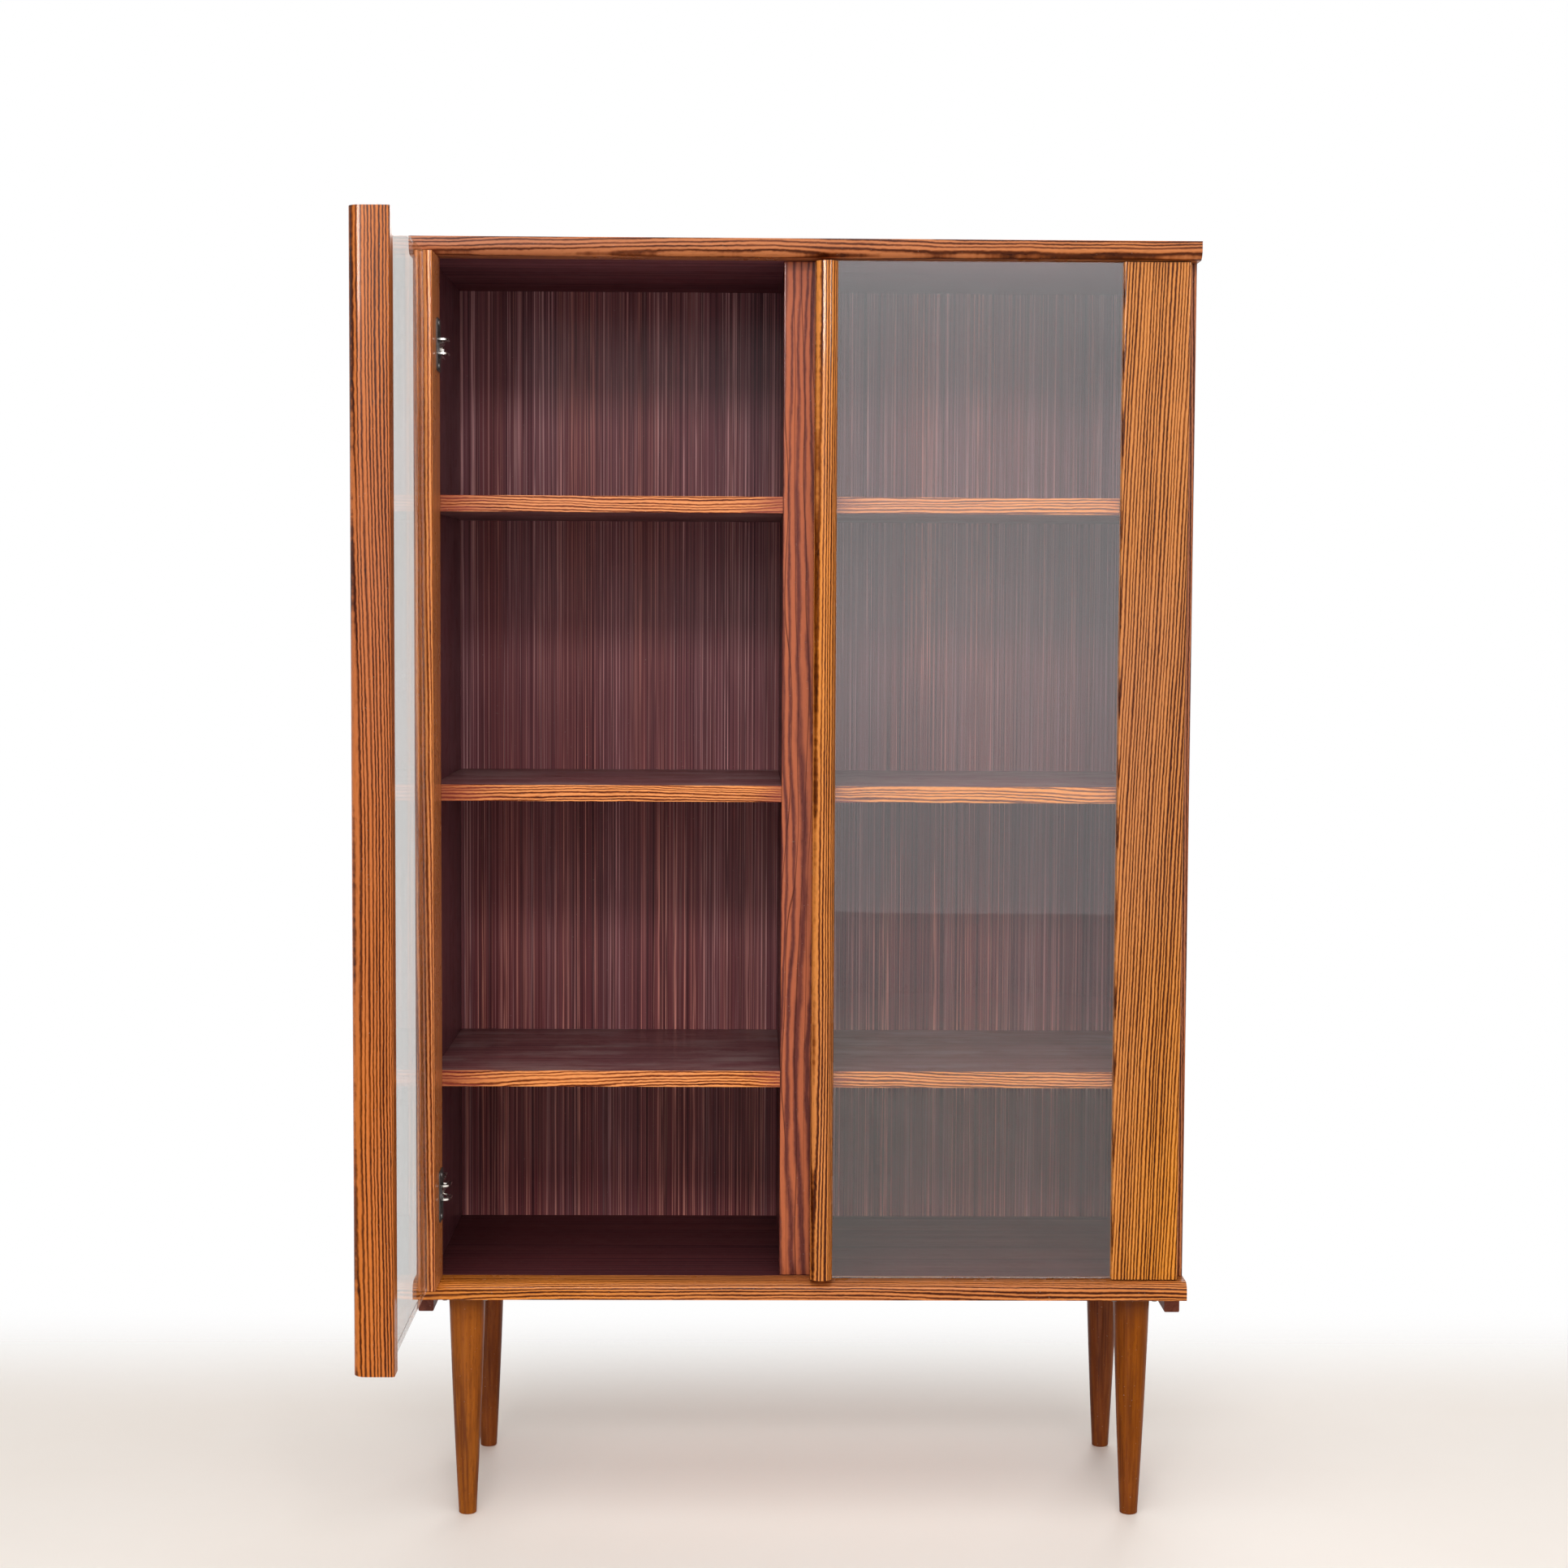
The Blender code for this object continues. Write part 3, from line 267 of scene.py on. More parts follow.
def make_lacquer_wear():
    """Old gloss lacquer: cloudy handling marks, hairline scratches and specks of dust."""
    group, given, out = new_group(
        "lacquer_wear",
        (("Vector", ARROW, None), ("Gloss", NUMBER, 0.22), ("Wear", NUMBER, 0.5)),
        (("Roughness", NUMBER), ("Dust", NUMBER), ("Relief", NUMBER)),
    )
    vector = given["Vector"]
    smear = fade(group, cloud(group, vector, 7.0, 4.0, 0.6), 0.36, 0.70)
    print_marks = fade(group, cloud(group, vector, 46.0, 2.0), 0.50, 0.72)
    slanted = put(group, "ShaderNodeMapping", {"Vector": vector, "Rotation": (0.4, 0.5, 0.3)}).outputs[0]
    scratch = fade(group, cloud(group, stretch(group, slanted, 900.0, 900.0, 14.0), detail=0.0), 0.735, 0.76)
    kept = fade(group, cloud(group, vector, 5.0, 1.0), 0.50, 0.60)
    scratch = sum_up(group, "MULTIPLY", scratch, kept)
    speck = fade(group, cloud(group, vector, 420.0, 1.0), 0.745, 0.79)
    cloudy = sum_up(group, "MULTIPLY_ADD", smear, 0.16, sum_up(group, "MULTIPLY", print_marks, 0.08))
    rough = sum_up(group, "MULTIPLY_ADD", cloudy, given["Wear"], given["Gloss"])
    rough = sum_up(group, "MULTIPLY_ADD", scratch, 0.25, rough)
    group.links.new(rough, out.inputs["Roughness"])
    group.links.new(sum_up(group, "MULTIPLY", speck, given["Wear"]), out.inputs["Dust"])
    group.links.new(sum_up(group, "MULTIPLY", scratch, -1.0), out.inputs["Relief"])
    return group


def make_tone():
    """A slow change of tone over a surface, warmer here and darker there."""
    group, given, out = new_group(
        "slow_tone",
        (("Color", COLOUR, None), ("Vector", ARROW, None), ("Amount", NUMBER, 0.5)),
        (("Color", COLOUR),),
    )
    patch = cloud(group, stretch(group, given["Vector"], 4.0, 4.0, 1.6), detail=2.0)
    shift = sum_up(group, "MULTIPLY", sum_up(group, "SUBTRACT", patch, 0.5), given["Amount"])
    inputs = {
        "Hue": sum_up(group, "MULTIPLY_ADD", shift, 0.03, 0.5),
        "Saturation": sum_up(group, "MULTIPLY_ADD", shift, 0.35, 1.0),
        "Value": sum_up(group, "MULTIPLY_ADD", shift, 0.9, 1.0), "Color": given["Color"],
    }
    group.links.new(put(group, "ShaderNodeHueSaturation", inputs).outputs[0], out.inputs["Color"])
    return group


ZEBRA = make_zebra_figure()
STREAKS = make_fine_streaks()
PLAIN = make_plain_grain()
WEAR = make_lacquer_wear()
TONE = make_tone()


# ---------------------------------------------------------------- finishes

def new_finish(name):
    """A new material: the material, its tree, its Principled shader and the object's coordinates."""
    made = bpy.data.materials.new(name)
    made.use_nodes = True
    tree = made.node_tree
    coordinates = tree.nodes.new("ShaderNodeTexCoord").outputs["Object"]
    return made, tree, tree.nodes["Principled BSDF"], coordinates


def run_along(tree, coordinates, axis, shift=(0.0, 0.0, 0.0)):
    """Turns the coordinates so that Z runs along the grain's axis."""
    quarter = math.pi / 2
    turn = {"x": (0.0, quarter, 0.0), "y": (quarter, 0.0, 0.0), "z": (0.0, 0.0, 0.0)}[axis]
    return put(tree, "ShaderNodeMapping", {"Vector": coordinates, "Rotation": turn, "Location": shift}).outputs[0]


def lacquer(tree, shader, coordinates, colour, relief, gloss, wear, dust=(176, 164, 152), depth=0.00012):
    """Finishes a wooden surface: dust on its colour, worn gloss, a little relief and a low specular level."""
    worn = place_group(tree, WEAR, {"Vector": coordinates, "Gloss": gloss, "Wear": wear})
    dusty = blend_colours(tree, sum_up(tree, "MULTIPLY", worn["Dust"], 0.35), colour, tint(*dust))
    tree.links.new(dusty, shader.inputs["Base Color"])
    tree.links.new(worn["Roughness"], shader.inputs["Roughness"])
    raised = sum_up(tree, "MULTIPLY_ADD", worn["Relief"], 0.5, relief)
    bump = put(tree, "ShaderNodeBump", {"Height": raised, "Strength": 0.5, "Distance": depth})
    tree.links.new(bump.outputs[0], shader.inputs["Normal"])
    shader.inputs["Specular IOR Level"].default_value = 0.04


def figured(tree, group, coordinates, axis, shift, figure):
    """A wood figure with its grain along an axis, in slowly changing tones: a colour and a relief."""
    vector = run_along(tree, coordinates, axis, shift)
    inputs = {"Vector": vector}
    inputs.update({key.replace("_", " ").title().replace("Per", "per"): value for key, value in figure.items()})
    drawn = place_group(tree, group, inputs)
    toned = place_group(tree, TONE, {"Color": drawn["Color"], "Vector": vector, "Amount": 0.5})
    return toned["Color"], drawn["Relief"]


def zebra(tree, coordinates, axis, shift=(0.0, 0.0, 0.0), **figure):
    """Striped veneer."""
    return figured(tree, ZEBRA, coordinates, axis, shift, figure)


def streaked(tree, coordinates, axis, shift=(0.0, 0.0, 0.0), **figure):
    """Dark veneer with fine streaks."""
    return figured(tree, STREAKS, coordinates, axis, shift, figure)


def beyond(tree, coordinates, axis, level, upward=True):
    """1 where the coordinate on an axis is past a level, else 0."""
    value = one_axis(tree, coordinates, axis)
    return sum_up(tree, "GREATER_THAN" if upward else "LESS_THAN", value, level)


def off_middle(tree, coordinates):
    """How far a point is to either side of the case's middle."""
    across = one_axis(tree, coordinates, "X")
    return sum_up(tree, "ABSOLUTE", sum_up(tree, "SUBTRACT", across, CASE_MIDDLE))


def two_faced(tree, mask, below, above):
    """Two coloured reliefs, chosen by a mask."""
    colour = blend_colours(tree, mask, below[0], above[0])
    relief = put(tree, "ShaderNodeMix", {0: mask, 2: below[1], 3: above[1]}, data_type="FLOAT").outputs[0]
    return colour, relief


AMBER = {"pale": tint(216, 138, 68), "middle": tint(148, 80, 24), "line": tint(70, 26, 3)}
GOLD_AMBER = {"pale": tint(226, 142, 66), "middle": tint(152, 80, 24), "line": tint(74, 28, 4)}
PALE_AMBER = {"pale": tint(230, 146, 86), "middle": tint(172, 92, 48), "line": tint(104, 44, 16)}
RED_AMBER = {"pale": tint(198, 112, 56), "middle": tint(136, 68, 26), "line": tint(66, 22, 4)}
HONEY = {"pale": tint(216, 134, 68), "middle": tint(148, 76, 28), "line": tint(64, 24, 6)}
RUSTY = {"pale": tint(192, 118, 74), "middle": tint(138, 74, 42), "line": tint(74, 32, 14)}
EDGE_AMBER = {"pale": tint(240, 154, 88), "middle": tint(172, 90, 38), "line": tint(80, 26, 4)}
MAUVE = {"pale": tint(186, 102, 64), "middle": tint(148, 78, 54), "line": tint(104, 50, 42)}
WINE = {"ground": tint(118, 68, 74), "streak": tint(152, 102, 104), "shade": tint(82, 42, 50)}
DEEP_WINE = {"ground": tint(86, 42, 44), "streak": tint(118, 66, 62), "shade": tint(58, 22, 28)}
BACK = {"ground": tint(132, 80, 86), "streak": tint(232, 176, 174), "shade": tint(72, 40, 48)}
# the russet back palette is kept dark because it also paints shade on the lower part of the back panel
RUSSET_BACK = {"ground": tint(124, 62, 64), "streak": tint(226, 150, 134), "shade": tint(66, 28, 34)}


def coat(shader, weight, roughness):
    """A clear coat over a finish."""
    shader.inputs["Coat Weight"].default_value = weight
    shader.inputs["Coat Roughness"].default_value = roughness


def make_stile_veneer(name, palette, lines, slant, shift):
    """Door stiles: upright striped veneer under gloss lacquer."""
    made, tree, shader, at = new_finish(name)
    colour, relief = zebra(
        tree, at, "z", shift, lines_per_metre=lines, waver=0.0035, slant=slant, ticks=0.85, **palette
    )
    lacquer(tree, shader, at, colour, relief, 0.24, 0.5, depth=0.00005)
    coat(shader, 0.14, 0.08)
    return made


def make_lipping_wood(name, palette, shift):
    """Front lippings: striped wood that runs sideways, with wavy lines."""
    made, tree, shader, at = new_finish(name)
    colour, relief = zebra(
        tree, at, "x", shift, lines_per_metre=250.0, waver=0.008, slant=0.004, ticks=0.6, **palette
    )
    lacquer(tree, shader, at, colour, relief, 0.26, 0.6, depth=0.00006)
    coat(shader, 0.12, 0.10)
    return made


def make_strip_veneer():
    """Divider's front strip: redder wood with a broad wavy figure."""
    made, tree, shader, at = new_finish("divider_strip_wood")
    colour, relief = zebra(
        tree, at, "z", (0.013, 0.0, 0.2), lines_per_metre=110.0, waver=0.016, slant=0.006, ticks=0.5, **MAUVE
    )
    # thin dark growth lines that wander over the broad ones
    field = cloud(tree, stretch(tree, at, 15.0, 3.0, 1.6), detail=2.0)
    across = one_axis(tree, at, "X")
    phase = sum_up(tree, "MULTIPLY_ADD", across, 300.0, sum_up(tree, "MULTIPLY", field, 26.0))
    wave = sum_up(tree, "ABSOLUTE", sum_up(tree, "SINE", phase))
    thin = sum_up(tree, "SUBTRACT", 1.0, fade(tree, wave, 0.03, 0.24))
    colour = blend_colours(tree, sum_up(tree, "MULTIPLY", thin, 0.78), colour, tint(72, 24, 16))
    lacquer(tree, shader, at, colour, relief, 0.28, 0.6)
    coat(shader, 0.12, 0.12)
    return made


def make_side_veneer():
    """Side panels: striped outside and on the front edge, dark inside."""
    made, tree, shader, at = new_finish("side_panel_veneer")
    outer = zebra(tree, at, "z", (0.0, 0.0, 1.3), lines_per_metre=250.0, waver=0.004, slant=0.008, **RUSTY)
    inner = streaked(tree, at, "z", streak_share=0.35, fineness=0.8, **WINE)
    outside = sum_up(tree, "GREATER_THAN", off_middle(tree, at), SIDE_INNER + END_VENEER)
    front = beyond(tree, at, "Y", CASE_FRONT + VENEER, upward=False)
    colour, relief = two_faced(tree, sum_up(tree, "MAXIMUM", outside, front), inner, outer)
    lacquer(tree, shader, at, colour, relief, 0.30, 0.6)
    coat(shader, 0.12, 0.12)
    return made


def make_panel_veneer(name, show_above, level, shift, palette):
    """Top or bottom panel, waxed: striped on its outer side and round the ends, dark within the case."""
    made, tree, shader, at = new_finish(name)
    outer = zebra(tree, at, "x", shift, lines_per_metre=230.0, waver=0.008, slant=0.004, **RUSTY)
    inner = streaked(tree, at, "x", shift, streak_share=0.25, fineness=0.7, **palette)
    ends = sum_up(tree, "GREATER_THAN", off_middle(tree, at), SIDE_OUTER - END_VENEER)
    outside = beyond(tree, at, "Z", level, upward=show_above)
    colour, relief = two_faced(tree, sum_up(tree, "MAXIMUM", ends, outside), inner, outer)
    lacquer(tree, shader, at, colour, relief, 0.56, 0.8)
    return made


def make_shelf_veneer():
    """Shelves: dusty dark faces and an amber striped strip on the front edge, with painted shade on the strip near
    the uprights, darker and redder.
    """
    made, tree, shader, at = new_finish("shelf_veneer")
    strip, relief = zebra(
        tree, at, "x", (0.4, 0.0, 0.0), lines_per_metre=270.0, waver=0.012, slant=0.004, **EDGE_AMBER
    )
    # painted shade: the front strip turns darker and redder near the side panels and the divider, where they shade
    # it
    ragged = spread(tree, cloud(tree, stretch(tree, at, 9.0, 1.0, 420.0), detail=2.0), 0.16)
    from_middle = sum_up(tree, "ADD", off_middle(tree, at), ragged)
    by_side = fade(tree, from_middle, SIDE_OUTER - 0.115, SIDE_OUTER - 0.030)
    by_divider = sum_up(tree, "SUBTRACT", 1.0, fade(tree, from_middle, 0.024, 0.070))
    painted_shade_near_uprights = sum_up(tree, "MAXIMUM", by_side, by_divider)
    strip = blend_colours(tree, sum_up(tree, "MULTIPLY", painted_shade_near_uprights, 0.65), strip, tint(140, 62, 56))
    face, low = streaked(tree, at, "x", streak_share=0.30, fineness=0.7, ground=tint(116, 72, 74),
                         streak=tint(150, 104, 102), shade=tint(88, 48, 52))
    smear = fade(tree, cloud(tree, stretch(tree, at, 7.0, 22.0, 5.0), detail=5.0, roughness=0.62), 0.46, 0.70)
    face = blend_colours(tree, sum_up(tree, "MULTIPLY", smear, 0.42), face, tint(160, 140, 136))
    front = beyond(tree, at, "Y", CASE_FRONT + SHELF_SETBACK + VENEER, upward=False)
    colour, relief = two_faced(tree, front, (face, low), (strip, relief))
    lacquer(tree, shader, at, colour, relief, 0.30, 0.9, depth=0.00006)
    coat(shader, 0.12, 0.14)
    return made


def make_inner_veneer():
    """Divider's faces: dark veneer."""
    made, tree, shader, at = new_finish("divider_veneer")
    colour, relief = streaked(tree, at, "z", streak_share=0.35, fineness=0.8, **DEEP_WINE)
    lacquer(tree, shader, at, colour, relief, 0.34, 0.6)
    coat(shader, 0.10, 0.16)
    return made


def make_back_veneer():
    """Back panel: dark streaked veneer inside, bare board behind."""
    made, tree, shader, at = new_finish("back_panel_veneer")
    mauve = streaked(tree, at, "z", streak_share=0.8, fineness=1.0, **BACK)
    russet = streaked(tree, at, "z", (0.6, 0.0, 0.0), streak_share=0.9, fineness=1.15, **RUSSET_BACK)
    # redder, darker strips at random, and more of them lower down: painted shade that darkens the lower
    # compartments
    height = one_axis(tree, at, "Z")
    strips = cloud(tree, stretch(tree, at, 14.0, 1.0, 0.8), detail=2.0, roughness=0.6)
    russet_and_low_shade = fade(tree, sum_up(tree, "MULTIPLY_ADD", height, -0.16, strips), 0.12, 0.58)
    inner = two_faced(tree, russet_and_low_shade, mauve, russet)
    bare = streaked(tree, at, "z", (0.3, 0.0, 0.0), streak_share=0.6, fineness=0.35, ground=tint(176, 126, 88),
                    streak=tint(196, 150, 110), shade=tint(148, 100, 66))
    rear = beyond(tree, at, "Y", BACK_MIDDLE)
    colour, relief = two_faced(tree, rear, inner, bare)
    lacquer(tree, shader, at, colour, relief, 0.42, 0.7)
    coat(shader, 0.06, 0.20)
    return made


def make_stained_beech(name, ground, dark, light, axis="z"):
    """Stained beech under satin lacquer, with painted shade darkening it just under the case."""
    made, tree, shader, at = new_finish(name)
    vector = run_along(tree, at, axis)
    drawn = place_group(tree, PLAIN, {"Vector": vector, "Ground": ground, "Dark": dark, "Light": light})
    toned = place_group(tree, TONE, {"Color": drawn["Color"], "Vector": vector, "Amount": 0.5})
    rise = one_axis(tree, at, "Z")
    # painted shade: the wood turns darker over the last few centimetres below the case's bottom, where the case
    # shades it
    painted_shade_under_case = fade(tree, rise, CASE_BOTTOM - 0.040, CASE_BOTTOM - 0.004)
    shown = blend_colours(tree, sum_up(tree, "MULTIPLY", painted_shade_under_case, 0.6), toned["Color"], dark)
    lacquer(tree, shader, at, shown, drawn["Relief"], 0.30, 0.8, depth=0.00006)
    coat(shader, 0.12, 0.14)
    return made


def make_metal(name, colour, gloss, stain):
    """Plated steel with fine rolling marks and a few stains."""
    made, tree, shader, at = new_finish(name)
    mark = cloud(tree, stretch(tree, at, 900.0, 900.0, 60.0), detail=1.0)
    blot = fade(tree, cloud(tree, at, 160.0, 3.0, 0.6), 0.50, 0.74)
    shown = blend_colours(tree, sum_up(tree, "MULTIPLY", blot, 0.5), colour, stain)
    tree.links.new(shown, shader.inputs["Base Color"])
    rough = sum_up(tree, "MULTIPLY_ADD", mark, 0.12, gloss - 0.06)
    tree.links.new(sum_up(tree, "MULTIPLY_ADD", blot, 0.22, rough), shader.inputs["Roughness"])
    shader.inputs["Metallic"].default_value = 1.0
    bump = put(tree, "ShaderNodeBump", {"Height": mark, "Strength": 0.3, "Distance": 0.00004})
    tree.links.new(bump.outputs[0], shader.inputs["Normal"])
    return made


def make_glass():
    """Clear float glass, a little uneven, that lets lamp light through."""
    made, tree, shader, at = new_finish("door_glass")
    shader.inputs["Base Color"].default_value = (0.975, 0.99, 0.985, 1.0)
    smear = fade(tree, cloud(tree, at, 9.0, 4.0, 0.6), 0.56, 0.78)
    tree.links.new(sum_up(tree, "MULTIPLY", smear, 0.03), shader.inputs["Roughness"])
    shader.inputs["IOR"].default_value = 1.5
    shader.inputs["Transmission Weight"].default_value = 1.0
    uneven = cloud(tree, stretch(tree, at, 3.0, 3.0, 9.0), detail=1.0)
    bump = put(tree, "ShaderNodeBump", {"Height": uneven, "Strength": 0.12, "Distance": 0.001})
    tree.links.new(bump.outputs[0], shader.inputs["Normal"])
    clear = put(tree, "ShaderNodeBsdfTransparent", {"Color": (0.92, 0.92, 0.91, 1.0)})
    path = tree.nodes.new("ShaderNodeLightPath").outputs
    lamp_light = sum_up(tree, "MAXIMUM", path["Is Shadow Ray"], path["Is Diffuse Ray"])
    # seen edge-on the pane stays clear, as the open door's does
    facing = put(tree, "ShaderNodeLayerWeight", {"Blend": 0.5}).outputs["Facing"]
    edge_on = sum_up(tree, "MULTIPLY", fade(tree, facing, 0.70, 0.88), 0.73)
    through = sum_up(tree, "MAXIMUM", lamp_light, edge_on)
    either = put(tree, "ShaderNodeMixShader", {0: through, 1: shader.outputs[0], 2: clear.outputs[0]})
    tree.links.new(either.outputs[0], tree.nodes["Material Output"].inputs["Surface"])
    return made


WIDE_STILE = make_stile_veneer("wide_stile_veneer", AMBER, 270.0, -0.042, (0.0, 0.0, 0.0))
PULL_STILE = make_stile_veneer("pull_stile_veneer", GOLD_AMBER, 250.0, -0.004, (0.004, 0.0, 0.4))
LEFT_PULL_STILE = make_stile_veneer("left_pull_stile_veneer", RED_AMBER, 290.0, 0.006, (0.0, 0.0, 0.8))
LEFT_HINGE_STILE = make_stile_veneer("left_hinge_stile_veneer", PALE_AMBER, 260.0, 0.01, (0.0, 0.0, 0.6))
TOP_LIPPING = make_lipping_wood("top_lipping_wood", RUSTY, (0.0, 0.0, 0.0))
BOTTOM_LIPPING = make_lipping_wood("bottom_lipping_wood", HONEY, (0.3, 0.0, 0.0))
STRIP = make_strip_veneer()
SIDE = make_side_veneer()
TOP = make_panel_veneer("top_panel_veneer", True, CASE_TOP - VENEER, (0.0, 0.0, 0.31), WINE)
BOTTOM = make_panel_veneer("bottom_panel_veneer", False, CASE_BOTTOM + VENEER, (0.0, 0.0, 0.77), DEEP_WINE)
SHELF = make_shelf_veneer()
INNER = make_inner_veneer()
BACK_PANEL = make_back_veneer()
GOLDEN_LEG = make_stained_beech("golden_leg", tint(150, 80, 12), tint(104, 50, 8), tint(178, 102, 18))
BROWN_LEG = make_stained_beech("brown_leg", tint(124, 62, 18), tint(92, 42, 10), tint(148, 80, 28))
BATTEN = make_stained_beech("batten_wood", tint(120, 62, 46), tint(88, 40, 28), tint(140, 82, 62), "y")
NICKEL = make_metal("nickel_plate", tint(226, 223, 218), 0.22, tint(170, 162, 150))
DULL_NICKEL = make_metal("dull_nickel_plate", tint(92, 88, 86), 0.50, tint(60, 52, 48))
DARK_STEEL = make_metal("dark_steel_plate", tint(120, 116, 112), 0.42, tint(92, 72, 58))
GLASS = make_glass()

FINISHES = (
    (WIDE_STILE, ["right_door_hinge_stile"]),
    (PULL_STILE, ["right_door_pull_stile"]),
    (LEFT_PULL_STILE, ["left_door_pull_stile"]),
    (LEFT_HINGE_STILE, ["left_door_hinge_stile"]),
    (TOP_LIPPING, ["top_front_lipping"]),
    (BOTTOM_LIPPING, ["bottom_front_lipping"]),
    (STRIP, ["divider_front_strip"]),
    (SIDE, ["left_side_panel", "right_side_panel"]),
    (TOP, ["top_panel"]),
    (BOTTOM, ["bottom_panel"]),
    (SHELF, [name for name in NODES if name.endswith("_shelf")]),
    (INNER, ["center_divider"]),
    (BACK_PANEL, ["back_panel"]),
    (GOLDEN_LEG, ["front_left_leg"]),
    (BROWN_LEG, ["rear_left_leg", "front_right_leg", "rear_right_leg"]),
    (BATTEN, ["left_base_batten", "right_base_batten"]),
    (GLASS, ["left_door_glass", "right_door_glass"]),
    (DARK_STEEL, [name for name in NODES if name.endswith(("_leg_plate", "_leg_bolt"))]),
    (NICKEL, [name for name in NODES if "_hinge_" in name and "stile" not in name]),
    (DULL_NICKEL, [name for name in NODES if name.endswith(("_hinge_plate", "_hinge_cup"))]),
)

for finish, names in FINISHES:
    for name in names:
        for slot in NODES[name].material_slots:
            slot.material = finish


# ---------------------------------------------------------------- rounded pieces

ROUNDED = ("_stile", "_lipping", "_leg", "_hinge_cup", "_hinge_arm", "_hinge_pin", "_arm_screw")


def shade_round(name):
    """A copy of a solid with its triangles joined and its curves shaded smooth, which stands for it."""
    solid = NODES[name]
    shape = bmesh.new()
    shape.from_mesh(solid.data)
    bmesh.ops.remove_doubles(shape, verts=shape.verts, dist=0.000001)
    bmesh.ops.dissolve_limit(shape, angle_limit=math.radians(0.2), verts=shape.verts, edges=shape.edges)
    mesh = bpy.data.meshes.new(name + "_rounded")
    shape.to_mesh(mesh)
    shape.free()
    mesh.shade_smooth()
    mesh.set_sharp_from_angle(angle=math.radians(35))
    if not mesh.materials:
        mesh.materials.append(solid.material_slots[0].material)
    made = bpy.data.objects.new(name + "_rounded", mesh)
    bpy.context.scene.collection.objects.link(made)
    weighing = made.modifiers.new("flat_faces_stay_flat", "WEIGHTED_NORMAL")
    weighing.keep_sharp = True
    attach(made, solid["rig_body"])
    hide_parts(name)


for name in sorted(NODES):
    if name.endswith(ROUNDED):
        shade_round(name)


# ---------------------------------------------------------------- screws and nails

def round_head(radius, height, sides, taper, rounding, steps):
    """A round head with a rounded crown, its underside at height 0."""
    shape = bmesh.new()
    bmesh.ops.create_cone(
        shape, cap_ends=True, segments=sides, radius1=radius, radius2=radius * taper, depth=height,
        matrix=Matrix.Translation((0.0, 0.0, height / 2)),
    )
    crown = max(shape.faces, key=lambda face: face.calc_center_median().z)
    bmesh.ops.bevel(
        shape, geom=list(crown.edges), offset=height * rounding, segments=steps, profile=0.5,
        affect="EDGES", material=-1,
    )
    return shape


def add_shank(shape, sides, point, radius, reach):
    """A pointed shank under the head."""
    bmesh.ops.create_cone(
        shape, cap_ends=True, segments=sides, radius1=point, radius2=radius, depth=reach,
        matrix=Matrix.Translation((0.0, 0.0, -reach / 2)),
    )
    bmesh.ops.recalc_face_normals(shape, faces=shape.faces)
    return shape


def pan_screw(radius, height, shank, reach):
    """A slotted pan-head screw that points down."""
    shape = round_head(radius, height, sides=20, taper=0.94, rounding=0.4, steps=3)

    def crown():
        return [
            face for face in shape.faces
            if face.normal.z > 0.99 and face.calc_center_median().z > height * 0.9
        ]

    for offset in (-radius * 0.13, radius * 0.13):
        flat = crown()
        around = flat + list({edge for face in flat for edge in face.edges})
        around += list({vertex for face in flat for vertex in face.verts})
        bmesh.ops.bisect_plane(shape, geom=around, plane_co=(0.0, offset, 0.0), plane_no=(0.0, 1.0, 0.0))
    slot = [face for face in crown() if abs(face.calc_center_median().y) < radius * 0.1]
    bmesh.ops.inset_region(shape, faces=slot, thickness=radius * 0.02, depth=-height * 0.45)
    return add_shank(shape, 12, shank * 0.3, shank, reach)


def nail(radius, height, reach):
    """A flat-headed panel pin that points down."""
    shape = round_head(radius, height, sides=14, taper=0.9, rounding=0.35, steps=2)
    return add_shank(shape, 8, radius * 0.1, radius * 0.4, reach)


def set_in(name, pattern, seats, heading, finish, body):
    """One piece that holds a copy of the pattern at each seat, its head facing the heading."""
    whole = bmesh.new()
    turn = Vector(heading).to_track_quat("Z", "Y").to_matrix().to_4x4()
    single = bpy.data.meshes.new(name + "_single")
    pattern.to_mesh(single)
    for count, seat in enumerate(seats):
        spin = Matrix.Rotation(math.radians(37 * count + 20), 4, "Z")
        before = len(whole.verts)
        whole.from_mesh(single)
        whole.verts.ensure_lookup_table()
        fresh = whole.verts[before:]
        bmesh.ops.transform(whole, matrix=Matrix.Translation(seat) @ turn @ spin, verts=fresh)
    mesh = bpy.data.meshes.new(name)
    whole.to_mesh(mesh)
    whole.free()
    pattern.free()
    bpy.data.meshes.remove(single)
    mesh.shade_smooth()
    mesh.set_sharp_from_angle(angle=math.radians(40))
    mesh.materials.append(finish)
    made = bpy.data.objects.new(name, mesh)
    bpy.context.scene.collection.objects.link(made)
    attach(made, body)
    return made


PLATE_SCREW_DEPTH = 0.0225    # back from the plate's front edge
PLATE_SCREW_RISE = 0.016
CUP_SCREW_INBOARD = 0.016     # from the hinge axis
CUP_FLANGE_STAND = 0.0138     # hinge axis to the flange's face
CUP_SCREW_RISE = 0.024
LEG_PLATE_SCREW_OUT = 0.0235  # from the leg's axis
PIN_INSET = 0.0047            # in from the back panel's sides
PIN_END_INSET = 0.005         # and from its ends


def hinge_plate_seats(side, hand):
    """Two screws in each hinge plate, above and below the arm."""
    seats = []
    for level in LEVELS:
        low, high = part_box(side + "_" + level + "_hinge_plate")
        face = low.x if hand > 0 else high.x
        for rise in (-PLATE_SCREW_RISE, PLATE_SCREW_RISE):
            seats.append((face, low.y + PLATE_SCREW_DEPTH, (low.z + high.z) / 2 + rise))
    return seats


